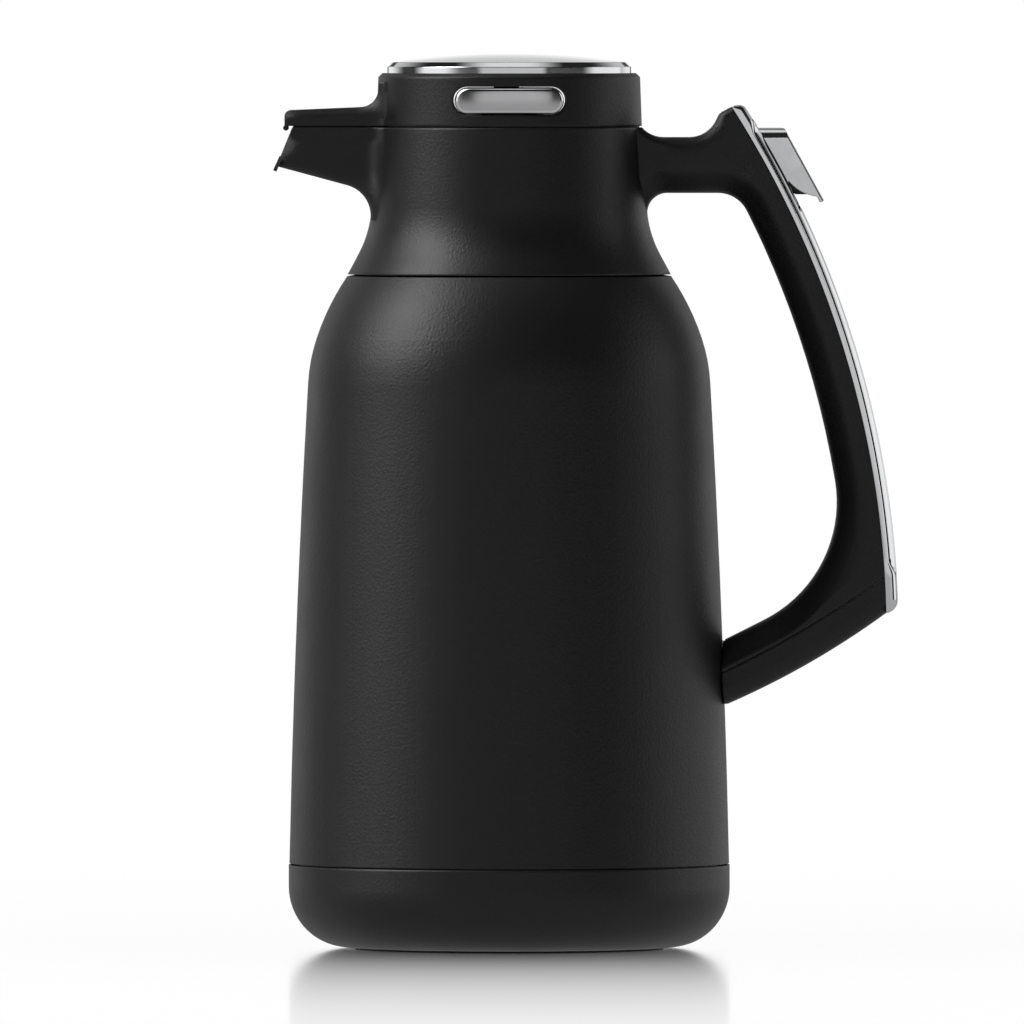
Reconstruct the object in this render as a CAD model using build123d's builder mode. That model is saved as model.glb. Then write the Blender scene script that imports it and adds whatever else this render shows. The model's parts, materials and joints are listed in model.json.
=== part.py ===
from build123d import *
import os
from math import acos, asin, atan2, cos, degrees, hypot, radians, sin, tan

# Insulated carafe. +Z is up, the spout points along -X and the handle along +X.
# The origin is the centre of the foot, on the surface that the carafe stands on.

os.makedirs("parts", exist_ok=True)

# Clearances, and how far a cutting shape reaches past what it cuts
fit_gap = 0.3
seam_gap = 0.5
pin_gap = 0.05
guide_gap = 0.1
slip_gap = 0.2
overcut = 1.0

# Base cup and its rubber foot
foot_proud = 0.4
foot_margin = 2.6
foot_recess = 1.6
base_radius = 71.6
base_height = 27.05
base_corner = 19.0
base_corner_rise = 19.5
base_wall = 2.7

# Painted outer shell: its side draws in from the base, and its shoulder ends at the collar
shell_wall = 0.8
body_step = 0.2
body_middle_taper = 2.4
body_middle_rise = 73.95
body_top_taper = 6.3
body_side_rise = 155.95
shoulder_radius = 56.0
shoulder_turn = 15.0
shoulder_rise = 34.6
crown_overhang = 0.1
ledge_rise = 0.45
ledge_width = 2.6
neck_radius = 40.8
neck_base_rise = 5.9
lip_rise = 22.9
lap_width = 6.0

# Inner flask
vacuum_gap = 6.0
bottom_gap = 7.5
flask_corner = 12.0
flask_side_drop = 1.5
flask_crown_width = 10.7
flask_crown_drop = 11.7
flask_neck_rise = 1.0
getter_radius = 7.0
getter_height = 2.0
seal_bead_radius = 4.0
seal_bead_height = 0.8
seal_bead_taper = 30.0

# Collar
gasket_thickness = 0.8
gasket_width = 4.3
sleeve_wall = 1.75
collar_foot_flare = 9.35
collar_foot_lift = 0.1
collar_skirt_wall = 2.3
collar_waist_flare = 2.05
collar_waist_rise = 14.1
collar_waist_round = 36.0
collar_height = 48.25
basin_wall = 4.4
flange_thickness = 3.0
flange_width = 5.15

# Spout: reaches are measured from the collar's side, and depths from the collar's top
spout_tip_reach = 33.45
spout_tip_depth = 13.85
spout_mouth_lean = 24.0
spout_rise = 15.0
spout_floor_start_reach = 32.35
spout_floor_start_depth = 12.55
spout_floor_end_reach = 9.35
spout_floor_end_depth = 18.75
spout_under_round = 10.2
spout_under_turn = 83.0
spout_root_half_width = 16.0
spout_tip_half_width = 10.0
spout_root_lap = 4.0
spout_side_round = 6.0
spout_bottom_round = 4.0
spout_wall = 1.9
drip_lip = 1.1
drip_lip_height = 5.0

# Handle: its grip is a band between two arcs about one centre. Depths are below the collar's top
handle_width = 25.0
grip_reach = 122.4
grip_outer_radius = 317.9
grip_depth = 12.5
grip_centre_depth = 164.75
grip_top_depth = -6.7
grip_bottom_depth = 157.5
bend_radius = 42.8
bend_depth = 112.55
lower_arm_lean = 26.7
lower_arm_reach = 20.0
arm_top_depth = 3.15
arm_bottom_depth = 21.25
arm_top_blend = 9.2
arm_root_round = 6.5
arm_root_sink = 0.4
arm_grip_round = 10.5
horn_rise = 65.0
horn_run = 7.6
horn_lean = 28.0
horn_inner_round = 9.5
horn_outer_round = 3.4
underside_mid_setback = 24.4
underside_mid_depth = 173.35
underside_end_setback = 51.4
underside_end_depth = 186.95
facet_depth = 7.5
facet_width = 6.5
inner_round = 4.5
underside_round = 5.0
top_round = 2.2
cover_gap = 0.25
cover_seam_depth = 144.8
cover_seam_mid_depth = 161.05
cover_seam_end_setback = 50.4
cover_seam_end_depth = 175.15
cover_seam_fall = 15.0

# Bracket inside the lower arm, and its screw
tab_stand = 12.6
tab_depth = 165.85
tab_lean = 28.0
tab_length = 20.0
tab_width = 10.0
tab_thickness = 1.5
tab_foot_height = 12.0
screw_setback = 6.0
screw_radius = 1.4
screw_length = 6.0
screw_head_radius = 2.6
screw_head_height = 1.6
screw_well_depth = 3.2

# Chrome trim on the back of the handle
rail_width = 24.0
rail_thickness = 1.6
rail_end_round = 1.6
trim_height = 4.0
top_block_height = 5.8
bottom_block_height = 12.1
groove = 0.5
groove_width = 14.0
crown_width = 17.0
crown_edge = 0.9
crown_end_gap = 0.1
window_top_depth = 1.3
window_bottom_depth = 27.9
window_width = 13.0

# Thumb lever, with the pocket and the tunnel that it moves in. Its points are measured from its pivot
pivot_setback = 7.0
pivot_depth = 12.35
pin_radius = 1.5
pin_length = 21.0
lever_travel = 8.0
lever_width = 6.0
lever_thickness = 4.0
hub_radius = 4.2
nose_drop = 1.5
head_ledge = 7.5
head_foot = 6.0
head_foot_setback = 5.0
hub_overlap = 0.5
pocket_depth = 8.5
pocket_gap = 1.0
tunnel_drop = 1.0
tunnel_side_gap = 1.5
button_width = 12.0
button_rise = 12.3
button_drop = 11.9
button_back = 0.5
button_ledge_reach = 12.7
button_tip_reach = 25.7
button_tip_drop = 11.4
button_lip = 1.0
button_sink = 0.6
button_skin = 1.6
button_side_wall = 1.2
button_edge = 1.2
button_side_edge = 0.5
button_top_round = 3.6
button_end_gap = 0.2
scoop_start_reach = 14.1
scoop_start_drop = 5.0
scoop_middle_reach = 18.2
scoop_middle_drop = 8.4
scoop_end_reach = 23.4
scoop_end_drop = 10.1

# Lid
lid_inset = 0.08
lid_taper = 0.62
lid_height = 17.15
lid_edge = 1.3
lid_wall = 2.3
lid_roof = 2.4
plate_margin = 2.75
plate_recess = 0.4
plate_side_height = 2.0
plate_edge = 1.6
plate_crown_rise = 6.3
plate_wall = 1.2
cover_reach = 29.75
cover_front_rise = 5.05
cover_back_rise = 6.35
cover_front_round = 2.0
cover_blend = 6.0
cover_bead_radius = 0.9
cover_hollow = 2.4
cover_tongue = 1.3
cover_tongue_wall = 1.2
snap_inset = 3.95
snap_count = 4
snap_thickness = 2.0
snap_width = 8.0
snap_tongue = 4.0
spring_pin_radius = 3.2
spring_pin_length = 4.0

# Release buttons on the two sides of the lid, and the latches behind them
release_length = 35.4
release_height = 8.4
release_drop = 8.9
release_proud = 0.4
release_bevel = 0.7
release_gap = 0.4
release_seat = 0.75
release_travel = 2.5
latch_width = 10.0
latch_head_lift = 2.0
latch_head_gap = 2.0
latch_head_depth = 2.6
latch_leg = 1.6
latch_tooth = 2.0
latch_groove_depth = 10.85
latch_groove_cut = 1.0
latch_side_gap = 2.5
bow_lift = 2.5
bow_width = 5.0
bow_thickness = 0.4
bow_half_length = 9.0
bow_half_crest = 1.5
bow_depth = 5.9
post_size = 2.0

# Stopper
stopper_gasket_width = 1.8
stopper_wall = 2.5
stopper_reach = 5.0
stopper_floor = 2.0
stopper_sink = 0.35
stopper_flange_thickness = 2.8
stopper_rim_height = 2.0
stopper_rim_wall = 1.5
seat_radius = 14.0
outlet_width = 30.0
outlet_lift = 2.2
outlet_drop = 3.2
guide_radius = 6.0
guide_rise = 3.5

# Valve
stem_radius = 3.0
seal_lap = 3.0
seal_edge = 1.0
seal_thickness = 1.0
valve_disc_thickness = 2.0
lifter_width = 5.0
lifter_margin = 0.75
lifter_lap = 2.5
lifter_slot_gap = 0.6
spring_cap_thickness = 1.0
spring_radius = 4.6
spring_wire = 0.8
spring_turns = 3

# Heights and radii that follow, from the base up
step_radius = base_radius - base_wall - fit_gap
corner_centre_radius = base_radius - base_corner
foot_radius = corner_centre_radius - foot_margin
corner_centre_height = foot_proud + base_corner_rise
cup_floor = foot_proud + foot_recess + base_wall
body_foot_radius = base_radius - body_step
body_middle_radius = base_radius - body_middle_taper
body_top_radius = base_radius - body_top_taper
body_foot_height = base_height + seam_gap
body_middle_height = body_foot_height + body_middle_rise
body_top_height = body_foot_height + body_side_rise
neck_seam_height = body_top_height + shoulder_rise
neck_base_height = neck_seam_height + neck_base_rise
lip_height = neck_seam_height + lip_rise
shell_bottom = cup_floor + fit_gap
flask_bottom = shell_bottom + bottom_gap + shell_wall
flask_neck_radius = neck_radius - 2 * shell_wall
flange_bottom = lip_height + gasket_thickness
basin_floor = flange_bottom + flange_thickness
collar_top_radius = neck_radius + 2 * fit_gap + sleeve_wall
collar_waist_radius = collar_top_radius + collar_waist_flare
collar_foot_radius = collar_top_radius + collar_foot_flare
basin_radius = collar_top_radius - basin_wall
flange_bore_radius = basin_radius - flange_width
collar_foot_height = neck_seam_height + seam_gap + collar_foot_lift
collar_waist_height = neck_seam_height + collar_waist_rise
collar_top_height = neck_seam_height + collar_height
ledge_inner_radius = collar_foot_radius + crown_overhang - ledge_width


def spout_point(reach, depth):
    """Point of the spout, by its reach from the collar's side and its depth below the collar's top."""
    return (-collar_top_radius - reach, collar_top_height - depth)


spout_tip = spout_point(spout_tip_reach, spout_tip_depth)
spout_floor_start = spout_point(spout_floor_start_reach, spout_floor_start_depth)
spout_floor_end = spout_point(spout_floor_end_reach, spout_floor_end_depth)
mouth_run = spout_tip_depth * tan(radians(spout_mouth_lean))
mouth_top = (spout_tip[0] + mouth_run, collar_top_height)
grip_centre = (grip_reach - grip_outer_radius, collar_top_height - grip_centre_depth)
grip_inner_radius = grip_outer_radius - grip_depth


def grip_angle(depth):
    """Angle above +X at which the back of the grip is this far below the collar's top."""
    return degrees(asin((grip_centre_depth - depth) / grip_outer_radius))


grip_top_angle = grip_angle(grip_top_depth)
grip_bottom_angle = grip_angle(grip_bottom_depth)
bend_angle = grip_angle(bend_depth)
top_block_angle = grip_angle(grip_top_depth + top_block_height)
bottom_block_angle = grip_angle(grip_bottom_depth - bottom_block_height)
window_top_angle = grip_angle(window_top_depth)
window_bottom_angle = grip_angle(window_bottom_depth)
cover_seam_angle = grip_angle(cover_seam_depth)
crown_end_angle = degrees(crown_end_gap / grip_outer_radius)
button_end_angle = degrees(button_end_gap / grip_outer_radius)


def grip_point(radius, angle):
    """Point this far from the centre of the grip's arcs, at this angle above +X."""
    x = grip_centre[0] + radius * cos(radians(angle))
    z = grip_centre[1] + radius * sin(radians(angle))
    return (x, z)


def below_collar(setback, depth):
    """Point of the handle, this far in from its reach and this far below the collar's top."""
    return (grip_reach - setback, collar_top_height - depth)


def from_pivot(reach, drop):
    """Point of the thumb lever, by its reach and its drop from the pivot."""
    return (pivot[0] + reach, pivot[1] - drop)


arm_top = collar_top_height - arm_top_depth
arm_bottom = collar_top_height - arm_bottom_depth
underside_mid = below_collar(underside_mid_setback, underside_mid_depth)
underside_end = below_collar(underside_end_setback, underside_end_depth)
cover_seam_mid = below_collar(underside_mid_setback, cover_seam_mid_depth)
cover_seam_end = below_collar(cover_seam_end_setback, cover_seam_end_depth)
tab_reach = body_foot_radius + tab_stand
tab_height = collar_top_height - tab_depth
pivot_surface = grip_point(grip_outer_radius, grip_angle(pivot_depth))
pivot = (pivot_surface[0] - pivot_setback, pivot_surface[1])
button_start = pivot[0] - button_back
button_top = pivot[1] + button_rise
button_bottom = pivot[1] - button_drop
button_ledge_end = pivot[0] + button_ledge_reach
button_tip = from_pivot(button_tip_reach, button_tip_drop)
lid_foot_radius = collar_top_radius - lid_inset
lid_top_radius = lid_foot_radius - lid_taper
lid_foot_height = collar_top_height + seam_gap
lid_top_height = lid_foot_height + lid_height
lid_ceiling = lid_top_height - plate_recess - lid_roof
plate_radius = lid_top_radius - plate_margin
cover_front = -collar_top_radius - cover_reach
release_centre_height = lid_top_height - release_drop
release_back = basin_radius - release_seat
latch_inner = release_back - latch_head_depth
latch_groove_height = collar_top_height - latch_groove_depth
snap_ring_radius = basin_radius - snap_inset
stopper_radius = flange_bore_radius - fit_gap - stopper_gasket_width
stopper_bottom = lip_height - stopper_reach
stopper_top = collar_top_height - stopper_sink
stopper_flange_height = stopper_top - stopper_flange_thickness
outlet_bottom = basin_floor + outlet_lift
outlet_top = stopper_flange_height - outlet_drop
guide_top = stopper_top + guide_rise
latch_head_bottom = stopper_top + latch_head_lift
latch_head_top = lid_ceiling - latch_head_gap
bow_bottom = stopper_top + bow_lift
bow_foot = latch_inner - bow_depth
lifter_reach = basin_radius - lifter_margin
nose_reach = lifter_reach - lifter_lap
nose_height = pivot[1] - nose_drop
nose_top = nose_height + lever_thickness / 2
nose_lift = (pivot[0] - nose_reach) * sin(radians(lever_travel))
lifter_bottom = nose_top + fit_gap
lifter_thickness = stopper_flange_height - fit_gap - nose_lift - lifter_bottom
tunnel_bottom = nose_height - lever_thickness / 2 - tunnel_drop
tunnel_top = nose_top + nose_lift + fit_gap
seat_height = stopper_bottom + stopper_floor
disc_bottom = seat_height + seal_thickness
disc_top = disc_bottom + valve_disc_thickness
stem_top = guide_top + fit_gap


def body_side(inset, trim=0):
    """Side and shoulder of the body, this far inside the painted face and shorter at both ends by a trim."""
    side = ThreePointArc(
        (body_foot_radius - inset, body_foot_height + trim),
        (body_middle_radius - inset, body_middle_height),
        (body_top_radius - inset, body_top_height),
    )
    shoulder = JernArc(side @ 1, side % 1, shoulder_radius - inset, shoulder_turn)
    lean = atan2(-(shoulder % 1).X, (shoulder % 1).Y)
    run = (shoulder @ 1).X + inset * cos(lean) - collar_foot_radius - crown_overhang
    climb = neck_seam_height - (shoulder @ 1).Y - inset * sin(lean)
    crown_radius = hypot(run, climb) / (2 * sin(atan2(run, climb) - lean)) - inset
    rise = neck_seam_height - trim - (shoulder @ 1).Y
    turn = degrees(asin(rise / crown_radius + sin(lean)) - lean)
    crown = JernArc(shoulder @ 1, shoulder % 1, crown_radius, turn)
    return side, crown


def grip_arc(radius, start, end):
    """Arc about the grip's centre between two angles."""
    middle = (start + end) / 2
    return ThreePointArc(grip_point(radius, start), grip_point(radius, middle), grip_point(radius, end))


def grip_band(inner, outer, start, end):
    """Closed outline of a stretch of the grip between two radii."""
    inner_arc = grip_arc(inner, start, end)
    outer_arc = grip_arc(outer, start, end)
    Line(inner_arc @ 0, outer_arc @ 0)
    Line(inner_arc @ 1, outer_arc @ 1)


def from_grip_centre(point):
    """Distance of a point from the axis of the grip's arcs."""
    return hypot(point.X - grip_centre[0], point.Z - grip_centre[1])


def spout_plan(inset, reach):
    """Outline of the spout seen from above, this far inside its sides and cut off at a reach."""
    taper = (spout_root_half_width - spout_tip_half_width) / -spout_tip[0]
    root_half_width = spout_root_half_width - inset
    tip_half_width = root_half_width - taper * reach
    Polyline(
        (0, -root_half_width),
        (-reach, -tip_half_width),
        (-reach, tip_half_width),
        (0, root_half_width),
        close=True,
    )


# Base cup, with a round recess for the foot
with BuildPart() as base_cup:
    with BuildSketch(Plane.XZ):
        with BuildLine():
            recess_height = foot_proud + foot_recess
            underside = Polyline(
                (0, recess_height),
                (foot_radius, recess_height),
                (foot_radius, foot_proud),
                (corner_centre_radius, foot_proud),
            )
            corner = EllipticalCenterArc(
                (corner_centre_radius, corner_centre_height),
                base_corner,
                base_corner_rise,
                start_angle=270,
                arc_size=90,
            )
            Polyline(
                corner @ 1,
                (base_radius, base_height),
                (base_radius - base_wall, base_height),
                (base_radius - base_wall, corner_centre_height),
                (corner_centre_radius - foot_recess, cup_floor),
                (0, cup_floor),
                (0, recess_height),
            )
        make_face()
    revolve(axis=Axis.Z)
base_cup.part.label = "base_cup"
export_step(base_cup.part, "parts/base_cup.step")

# Rubber foot pad in the recess of the cup
with BuildPart() as foot_pad:
    with BuildSketch():
        Circle(foot_radius)
    extrude(amount=foot_proud + foot_recess)
foot_pad.part.label = "foot_pad"
export_step(foot_pad.part, "parts/foot_pad.step")

# Painted outer shell, stepped in behind the base cup and drawn in to the neck
with BuildPart() as outer_shell:
    with BuildSketch(Plane.XZ):
        with BuildLine():
            side, crown = body_side(0)
            inner_side, inner_crown = body_side(shell_wall, shell_wall)
            lap_start = corner_centre_radius - foot_recess
            ledge_height = neck_seam_height + ledge_rise
            Polyline(
                crown @ 1,
                (ledge_inner_radius, ledge_height),
                (neck_radius, neck_base_height),
                (neck_radius, lip_height - shell_wall),
                (neck_radius - shell_wall, lip_height - shell_wall),
                (neck_radius - shell_wall, neck_base_height - shell_wall),
                (ledge_inner_radius - shell_wall, ledge_height - shell_wall),
                inner_crown @ 1,
            )
            Polyline(
                side @ 0,
                (step_radius, body_foot_height),
                (step_radius, corner_centre_height),
                (lap_start, shell_bottom),
                (lap_start - lap_width, shell_bottom),
                (lap_start - lap_width, shell_bottom + shell_wall),
                (lap_start - shell_wall / 2, shell_bottom + shell_wall),
                (step_radius - shell_wall, corner_centre_height + shell_wall / 2),
                (step_radius - shell_wall, body_foot_height + shell_wall),
                inner_side @ 0,
            )
        make_face()
    revolve(axis=Axis.Z)
outer_shell.part.label = "outer_shell"
export_step(outer_shell.part, "parts/outer_shell.step")

# Disc welded over the open bottom of the shell
with BuildPart() as outer_bottom:
    with BuildSketch(Plane.XY.offset(shell_bottom + shell_wall)):
        Circle(corner_centre_radius - foot_recess - shell_wall)
    extrude(amount=shell_wall)
outer_bottom.part.label = "outer_bottom"
export_step(outer_bottom.part, "parts/outer_bottom.step")

# Bead that closes the hole the air was drawn out through
with BuildPart() as vacuum_seal:
    with BuildSketch(Plane.XY.offset(shell_bottom + shell_wall)):
        Circle(seal_bead_radius)
    extrude(amount=-seal_bead_height, taper=seal_bead_taper)
vacuum_seal.part.label = "vacuum_seal"
export_step(vacuum_seal.part, "parts/vacuum_seal.step")

# Inner flask, joined to the outer shell at the lip
with BuildPart() as inner_flask:
    with BuildSketch(Plane.XZ):
        with BuildLine():
            flask_inset = shell_wall + vacuum_gap
            flask_foot_radius = body_foot_radius - flask_inset
            flask_side_height = body_top_height - flask_side_drop
            flask_crown_radius = flask_neck_radius + flask_crown_width
            flask_crown_height = neck_seam_height - flask_crown_drop
            flask_neck_height = neck_seam_height + flask_neck_rise
            flask_side = ThreePointArc(
                (flask_foot_radius, flask_bottom + flask_corner),
                (body_middle_radius - flask_inset, body_middle_height),
                (body_top_radius - flask_inset, flask_side_height),
            )
            inside = ThreePointArc(
                (flask_foot_radius - shell_wall, flask_bottom + flask_corner + shell_wall / 2),
                (body_middle_radius - flask_inset - shell_wall, body_middle_height),
                (body_top_radius - flask_inset - shell_wall, flask_side_height),
            )
            Polyline(
                flask_side @ 0,
                (flask_foot_radius - flask_corner, flask_bottom),
                (0, flask_bottom),
                (0, flask_bottom + shell_wall),
                (flask_foot_radius - flask_corner - shell_wall / 2, flask_bottom + shell_wall),
                inside @ 0,
            )
            Polyline(
                flask_side @ 1,
                (flask_crown_radius, flask_crown_height),
                (flask_neck_radius, flask_neck_height),
                (flask_neck_radius, lip_height),
                (flask_neck_radius - shell_wall, lip_height),
                (flask_neck_radius - shell_wall, flask_neck_height - shell_wall / 2),
                (flask_crown_radius - shell_wall, flask_crown_height - shell_wall / 2),
                inside @ 1,
            )
        make_face()
        with BuildLine():
            Polyline(
                (flask_neck_radius - shell_wall, lip_height),
                (neck_radius, lip_height),
                (neck_radius, lip_height - shell_wall),
                (flask_neck_radius - shell_wall, lip_height - shell_wall),
                close=True,
            )
        make_face()
    revolve(axis=Axis.Z)
inner_flask.part.label = "inner_flask"
export_step(inner_flask.part, "parts/inner_flask.step")

# Getter under the flask, in the vacuum
with BuildPart() as getter:
    with BuildSketch(Plane.XY.offset(flask_bottom)):
        Circle(getter_radius)
    extrude(amount=-getter_height)
getter.part.label = "getter"
export_step(getter.part, "parts/getter.step")

# Silicone gasket between the steel lip and the collar
with BuildPart() as neck_gasket:
    with BuildSketch(Plane.XY.offset(lip_height)):
        Circle(neck_radius)
        Circle(neck_radius - gasket_width, mode=Mode.SUBTRACT)
    extrude(amount=gasket_thickness)
neck_gasket.part.label = "neck_gasket"
export_step(neck_gasket.part, "parts/neck_gasket.step")

# Outside of the spout: the outline seen from above, crossed with the one seen from the side
with BuildPart() as spout_form:
    with BuildSketch(Plane.XY.offset(neck_base_height)):
        Circle(collar_top_radius)
        with BuildLine():
            spout_plan(0, overcut - spout_tip[0])
        make_face()
        fillet(vertices().sort_by(Axis.X)[2:4], spout_side_round)
    extrude(amount=collar_top_height - neck_base_height)
    with BuildSketch(Plane.XZ):
        with BuildLine():
            under = Line(spout_floor_start, spout_floor_end)
            round_under = JernArc(under @ 1, under % 1, spout_under_round, -spout_under_turn)
            Polyline(
                round_under @ 1,
                (spout_root_lap - basin_radius, (round_under @ 1).Y),
                (spout_root_lap - basin_radius, collar_top_height),
                mouth_top,
                spout_floor_start,
            )
        make_face()
    extrude(amount=collar_top_radius, both=True, mode=Mode.INTERSECT)
    beyond_neck = edges().filter_by(lambda edge: (edge @ 0.5).X < spout_floor_end[0])
    below_mouth = beyond_neck.filter_by(lambda edge: (edge @ 0.5).Z < spout_floor_start[1])
    fillet(below_mouth.filter_by(lambda edge: abs((edge @ 0.5).Y) > spout_wall), spout_bottom_round)

# Inside of the spout, open at the mouth and under the lid
with BuildPart() as spout_channel:
    with BuildSketch(Plane.XY.offset(basin_floor)):
        with BuildLine():
            spout_plan(spout_wall, 2 * overcut - spout_tip[0])
        make_face()
    extrude(amount=collar_top_height - basin_floor + overcut)
    with BuildSketch(Plane.XZ):
        with BuildLine():
            slope = tan(radians(spout_rise))
            floor_height = spout_floor_end[1] + spout_wall / cos(radians(spout_rise))
            outer_x = spout_tip[0] - 3 * overcut
            Polyline(
                (outer_x, floor_height + slope * (spout_floor_end[0] - outer_x)),
                (-flange_bore_radius, basin_floor),
                (-flange_bore_radius, collar_top_height + overcut),
                (outer_x, collar_top_height + overcut),
                close=True,
            )
        make_face()
    extrude(amount=spout_root_half_width, both=True, mode=Mode.INTERSECT)

spout_mouth = Plane(
    origin=(spout_tip[0], 0, spout_tip[1]),
    x_dir=(0, 1, 0),
    z_dir=(-cos(radians(spout_mouth_lean)), 0, sin(radians(spout_mouth_lean))),
)


def around_fingers(edge):
    """True for an edge of the opening that the hand goes through."""
    middle = edge @ 0.5
    inside = from_grip_centre(middle) < grip_inner_radius + pin_gap
    beyond_collar = middle.X > collar_waist_radius
    above_foot = middle.Z > underside_mid[1] + spout_wall
    return inside and beyond_collar and above_foot and middle.Z < arm_bottom + pin_gap


def on_arm_top(edge):
    """True for a side edge of the top of the arm and the horn."""
    middle = edge @ 0.5
    outside = abs(middle.Y) > handle_width / 2 - pin_gap
    on_back = abs(from_grip_centre(middle) - grip_outer_radius) < pin_gap
    return outside and not on_back and middle.X > arm_start - pin_gap and middle.Z > arm_top - pin_gap


# Outside of the handle: grip, arm and lower arm in one outline, with slanted facets to the fingers
with BuildPart() as handle_form:
    with BuildSketch(Plane.XZ):
        with BuildLine():
            blend_turn = degrees(acos(1 - (collar_top_height - arm_top) / arm_top_blend))
            arm_start = collar_top_radius + arm_top_blend * sin(radians(blend_turn))
            top_blend = JernArc((arm_start, arm_top), (-1, 0), arm_top_blend, -blend_turn)
            horn_tip = grip_point(grip_outer_radius, grip_top_angle)
            rise_slope = tan(radians(horn_rise))
            lean_slope = tan(radians(horn_lean))
            horn_start = horn_tip[0] - horn_run
            horn_x = (horn_tip[1] - arm_top - lean_slope * horn_run) / (rise_slope - lean_slope)
            FilletPolyline(
                (arm_start, arm_top),
                (horn_start, arm_top),
                (horn_start + horn_x, arm_top + rise_slope * horn_x),
                horn_tip,
                radius=[horn_inner_round, horn_outer_round],
            )
            back = grip_arc(grip_outer_radius, grip_top_angle, grip_bottom_angle)
            underside = ThreePointArc(back @ 1, underside_mid, underside_end)
            bend_centre = Vector(*grip_point(grip_inner_radius - bend_radius, bend_angle))
            lean = radians(lower_arm_lean)
            bend_start = bend_centre + Vector(sin(lean), -cos(lean)) * bend_radius
            bend_half = radians((bend_angle + lower_arm_lean - 90) / 2)
            bend_middle = bend_centre + Vector(cos(bend_half), sin(bend_half)) * bend_radius
            ThreePointArc(bend_start, bend_middle, grip_point(grip_inner_radius, bend_angle))
            lower_arm_end = bend_start - Vector(cos(lean), sin(lean)) * lower_arm_reach
            arm_corner_angle = degrees(asin((arm_bottom - grip_centre[1]) / grip_inner_radius))
            fingers = grip_arc(grip_inner_radius, bend_angle, arm_corner_angle)
            arm_root = (collar_waist_radius - arm_root_sink + arm_root_round, arm_bottom)
            root = JernArc(arm_root, (-1, 0), arm_root_round, 90)
            Line(fingers @ 1, arm_root)
            Polyline(underside @ 1, (lower_arm_end.X, (underside @ 1).Y), lower_arm_end, bend_start)
            Polyline(
                root @ 1,
                (basin_radius, (root @ 1).Y),
                (basin_radius, collar_top_height),
                top_blend @ 1,
            )
        make_face()
        fillet(vertices().sort_by_distance(fingers @ 1)[0], arm_grip_round)
    extrude(amount=handle_width / 2, both=True)
    for flank in (faces().sort_by(Axis.Y)[0], faces().sort_by(Axis.Y)[-1]):
        chamfer(flank.edges().filter_by(around_fingers), facet_depth, facet_width, reference=flank)
    inner_width = handle_width / 2 - facet_width
    inner_edges = edges().filter_by(around_fingers)
    fillet(inner_edges.filter_by(lambda edge: abs(abs((edge @ 0.5).Y) - inner_width) < pin_gap), inner_round)
    fillet(edges().filter_by(on_arm_top), top_round)
    lower_edges = edges().filter_by(lambda edge: abs((edge @ 0.5).Y) > inner_width)
    on_underside = lower_edges.filter_by(
        lambda edge: underside.distance_to(Vector((edge @ 0.5).X, (edge @ 0.5).Z)) < pin_gap
    )
    fillet(on_underside, underside_round)

# Space that the body takes inside the handle's foot
with BuildPart() as body_room:
    with BuildSketch(Plane.XZ):
        with BuildLine():
            side, crown = body_side(-fit_gap)
            Polyline(crown @ 1, (0, (crown @ 1).Y), (0, body_foot_height), side @ 0)
        make_face()
    revolve(axis=Axis.Z)


def below_seam(drop):
    """Solid that takes in all of the handle that lies under the seam of its lower arm."""
    with BuildPart() as region:
        with BuildSketch(Plane.XZ):
            with BuildLine():
                back_x, back_z = grip_point(grip_outer_radius + overcut, cover_seam_angle)
                low = underside_end[1] - handle_width
                seam = ThreePointArc(
                    (back_x, back_z - drop),
                    (cover_seam_mid[0], cover_seam_mid[1] - drop),
                    (cover_seam_end[0], cover_seam_end[1] - drop),
                )
                Polyline(
                    seam @ 1,
                    (basin_radius, cover_seam_end[1] - drop - cover_seam_fall),
                    (basin_radius, low),
                    (back_x + overcut, low),
                    (back_x + overcut, back_z - drop),
                    seam @ 0,
                )
            make_face()
        extrude(amount=handle_width, both=True)
    return region.part


tab_plane = Plane(
    origin=(tab_reach, 0, tab_height),
    x_dir=(cos(radians(tab_lean)), 0, sin(radians(tab_lean))),
    z_dir=(-sin(radians(tab_lean)), 0, cos(radians(tab_lean))),
)


def bracket_shape(grow):
    """Tab and weld foot of the bracket, larger by this much all round."""
    foot_centre = tab_height - (tab_reach - body_foot_radius) * tan(radians(tab_lean))
    with BuildPart() as shape:
        with BuildSketch(tab_plane.offset(-grow)):
            with Locations((-tab_length / 2, 0)):
                Rectangle(tab_length + 2 * grow, tab_width + 2 * grow)
        extrude(amount=tab_thickness + 2 * grow)
        with BuildSketch(Plane.YZ.offset(body_top_radius)):
            with Locations((0, foot_centre)):
                Rectangle(tab_width + 2 * grow, tab_foot_height + 2 * grow)
        extrude(amount=body_foot_radius + grow - body_top_radius)
    return shape.part


below_seam_gap = below_seam(cover_gap)
above_seam_cut = below_seam(0)
bracket = bracket_shape(0)
bracket_room = bracket_shape(fit_gap)

# Steel tab welded to the shell, in a slot in the handle's foot
with BuildPart() as handle_bracket:
    add(bracket)
    with BuildSketch(Plane.XZ):
        with BuildLine():
            side, crown = body_side(0)
            Polyline(crown @ 1, (0, (crown @ 1).Y), (0, body_foot_height), side @ 0)
        make_face()
    revolve(axis=Axis.Z, mode=Mode.SUBTRACT)
    with BuildSketch(tab_plane):
        with Locations((-screw_setback, 0)):
            Circle(screw_radius)
    extrude(amount=tab_thickness, mode=Mode.SUBTRACT)
handle_bracket.part.label = "handle_bracket"
export_step(handle_bracket.part, "parts/handle_bracket.step")

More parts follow.
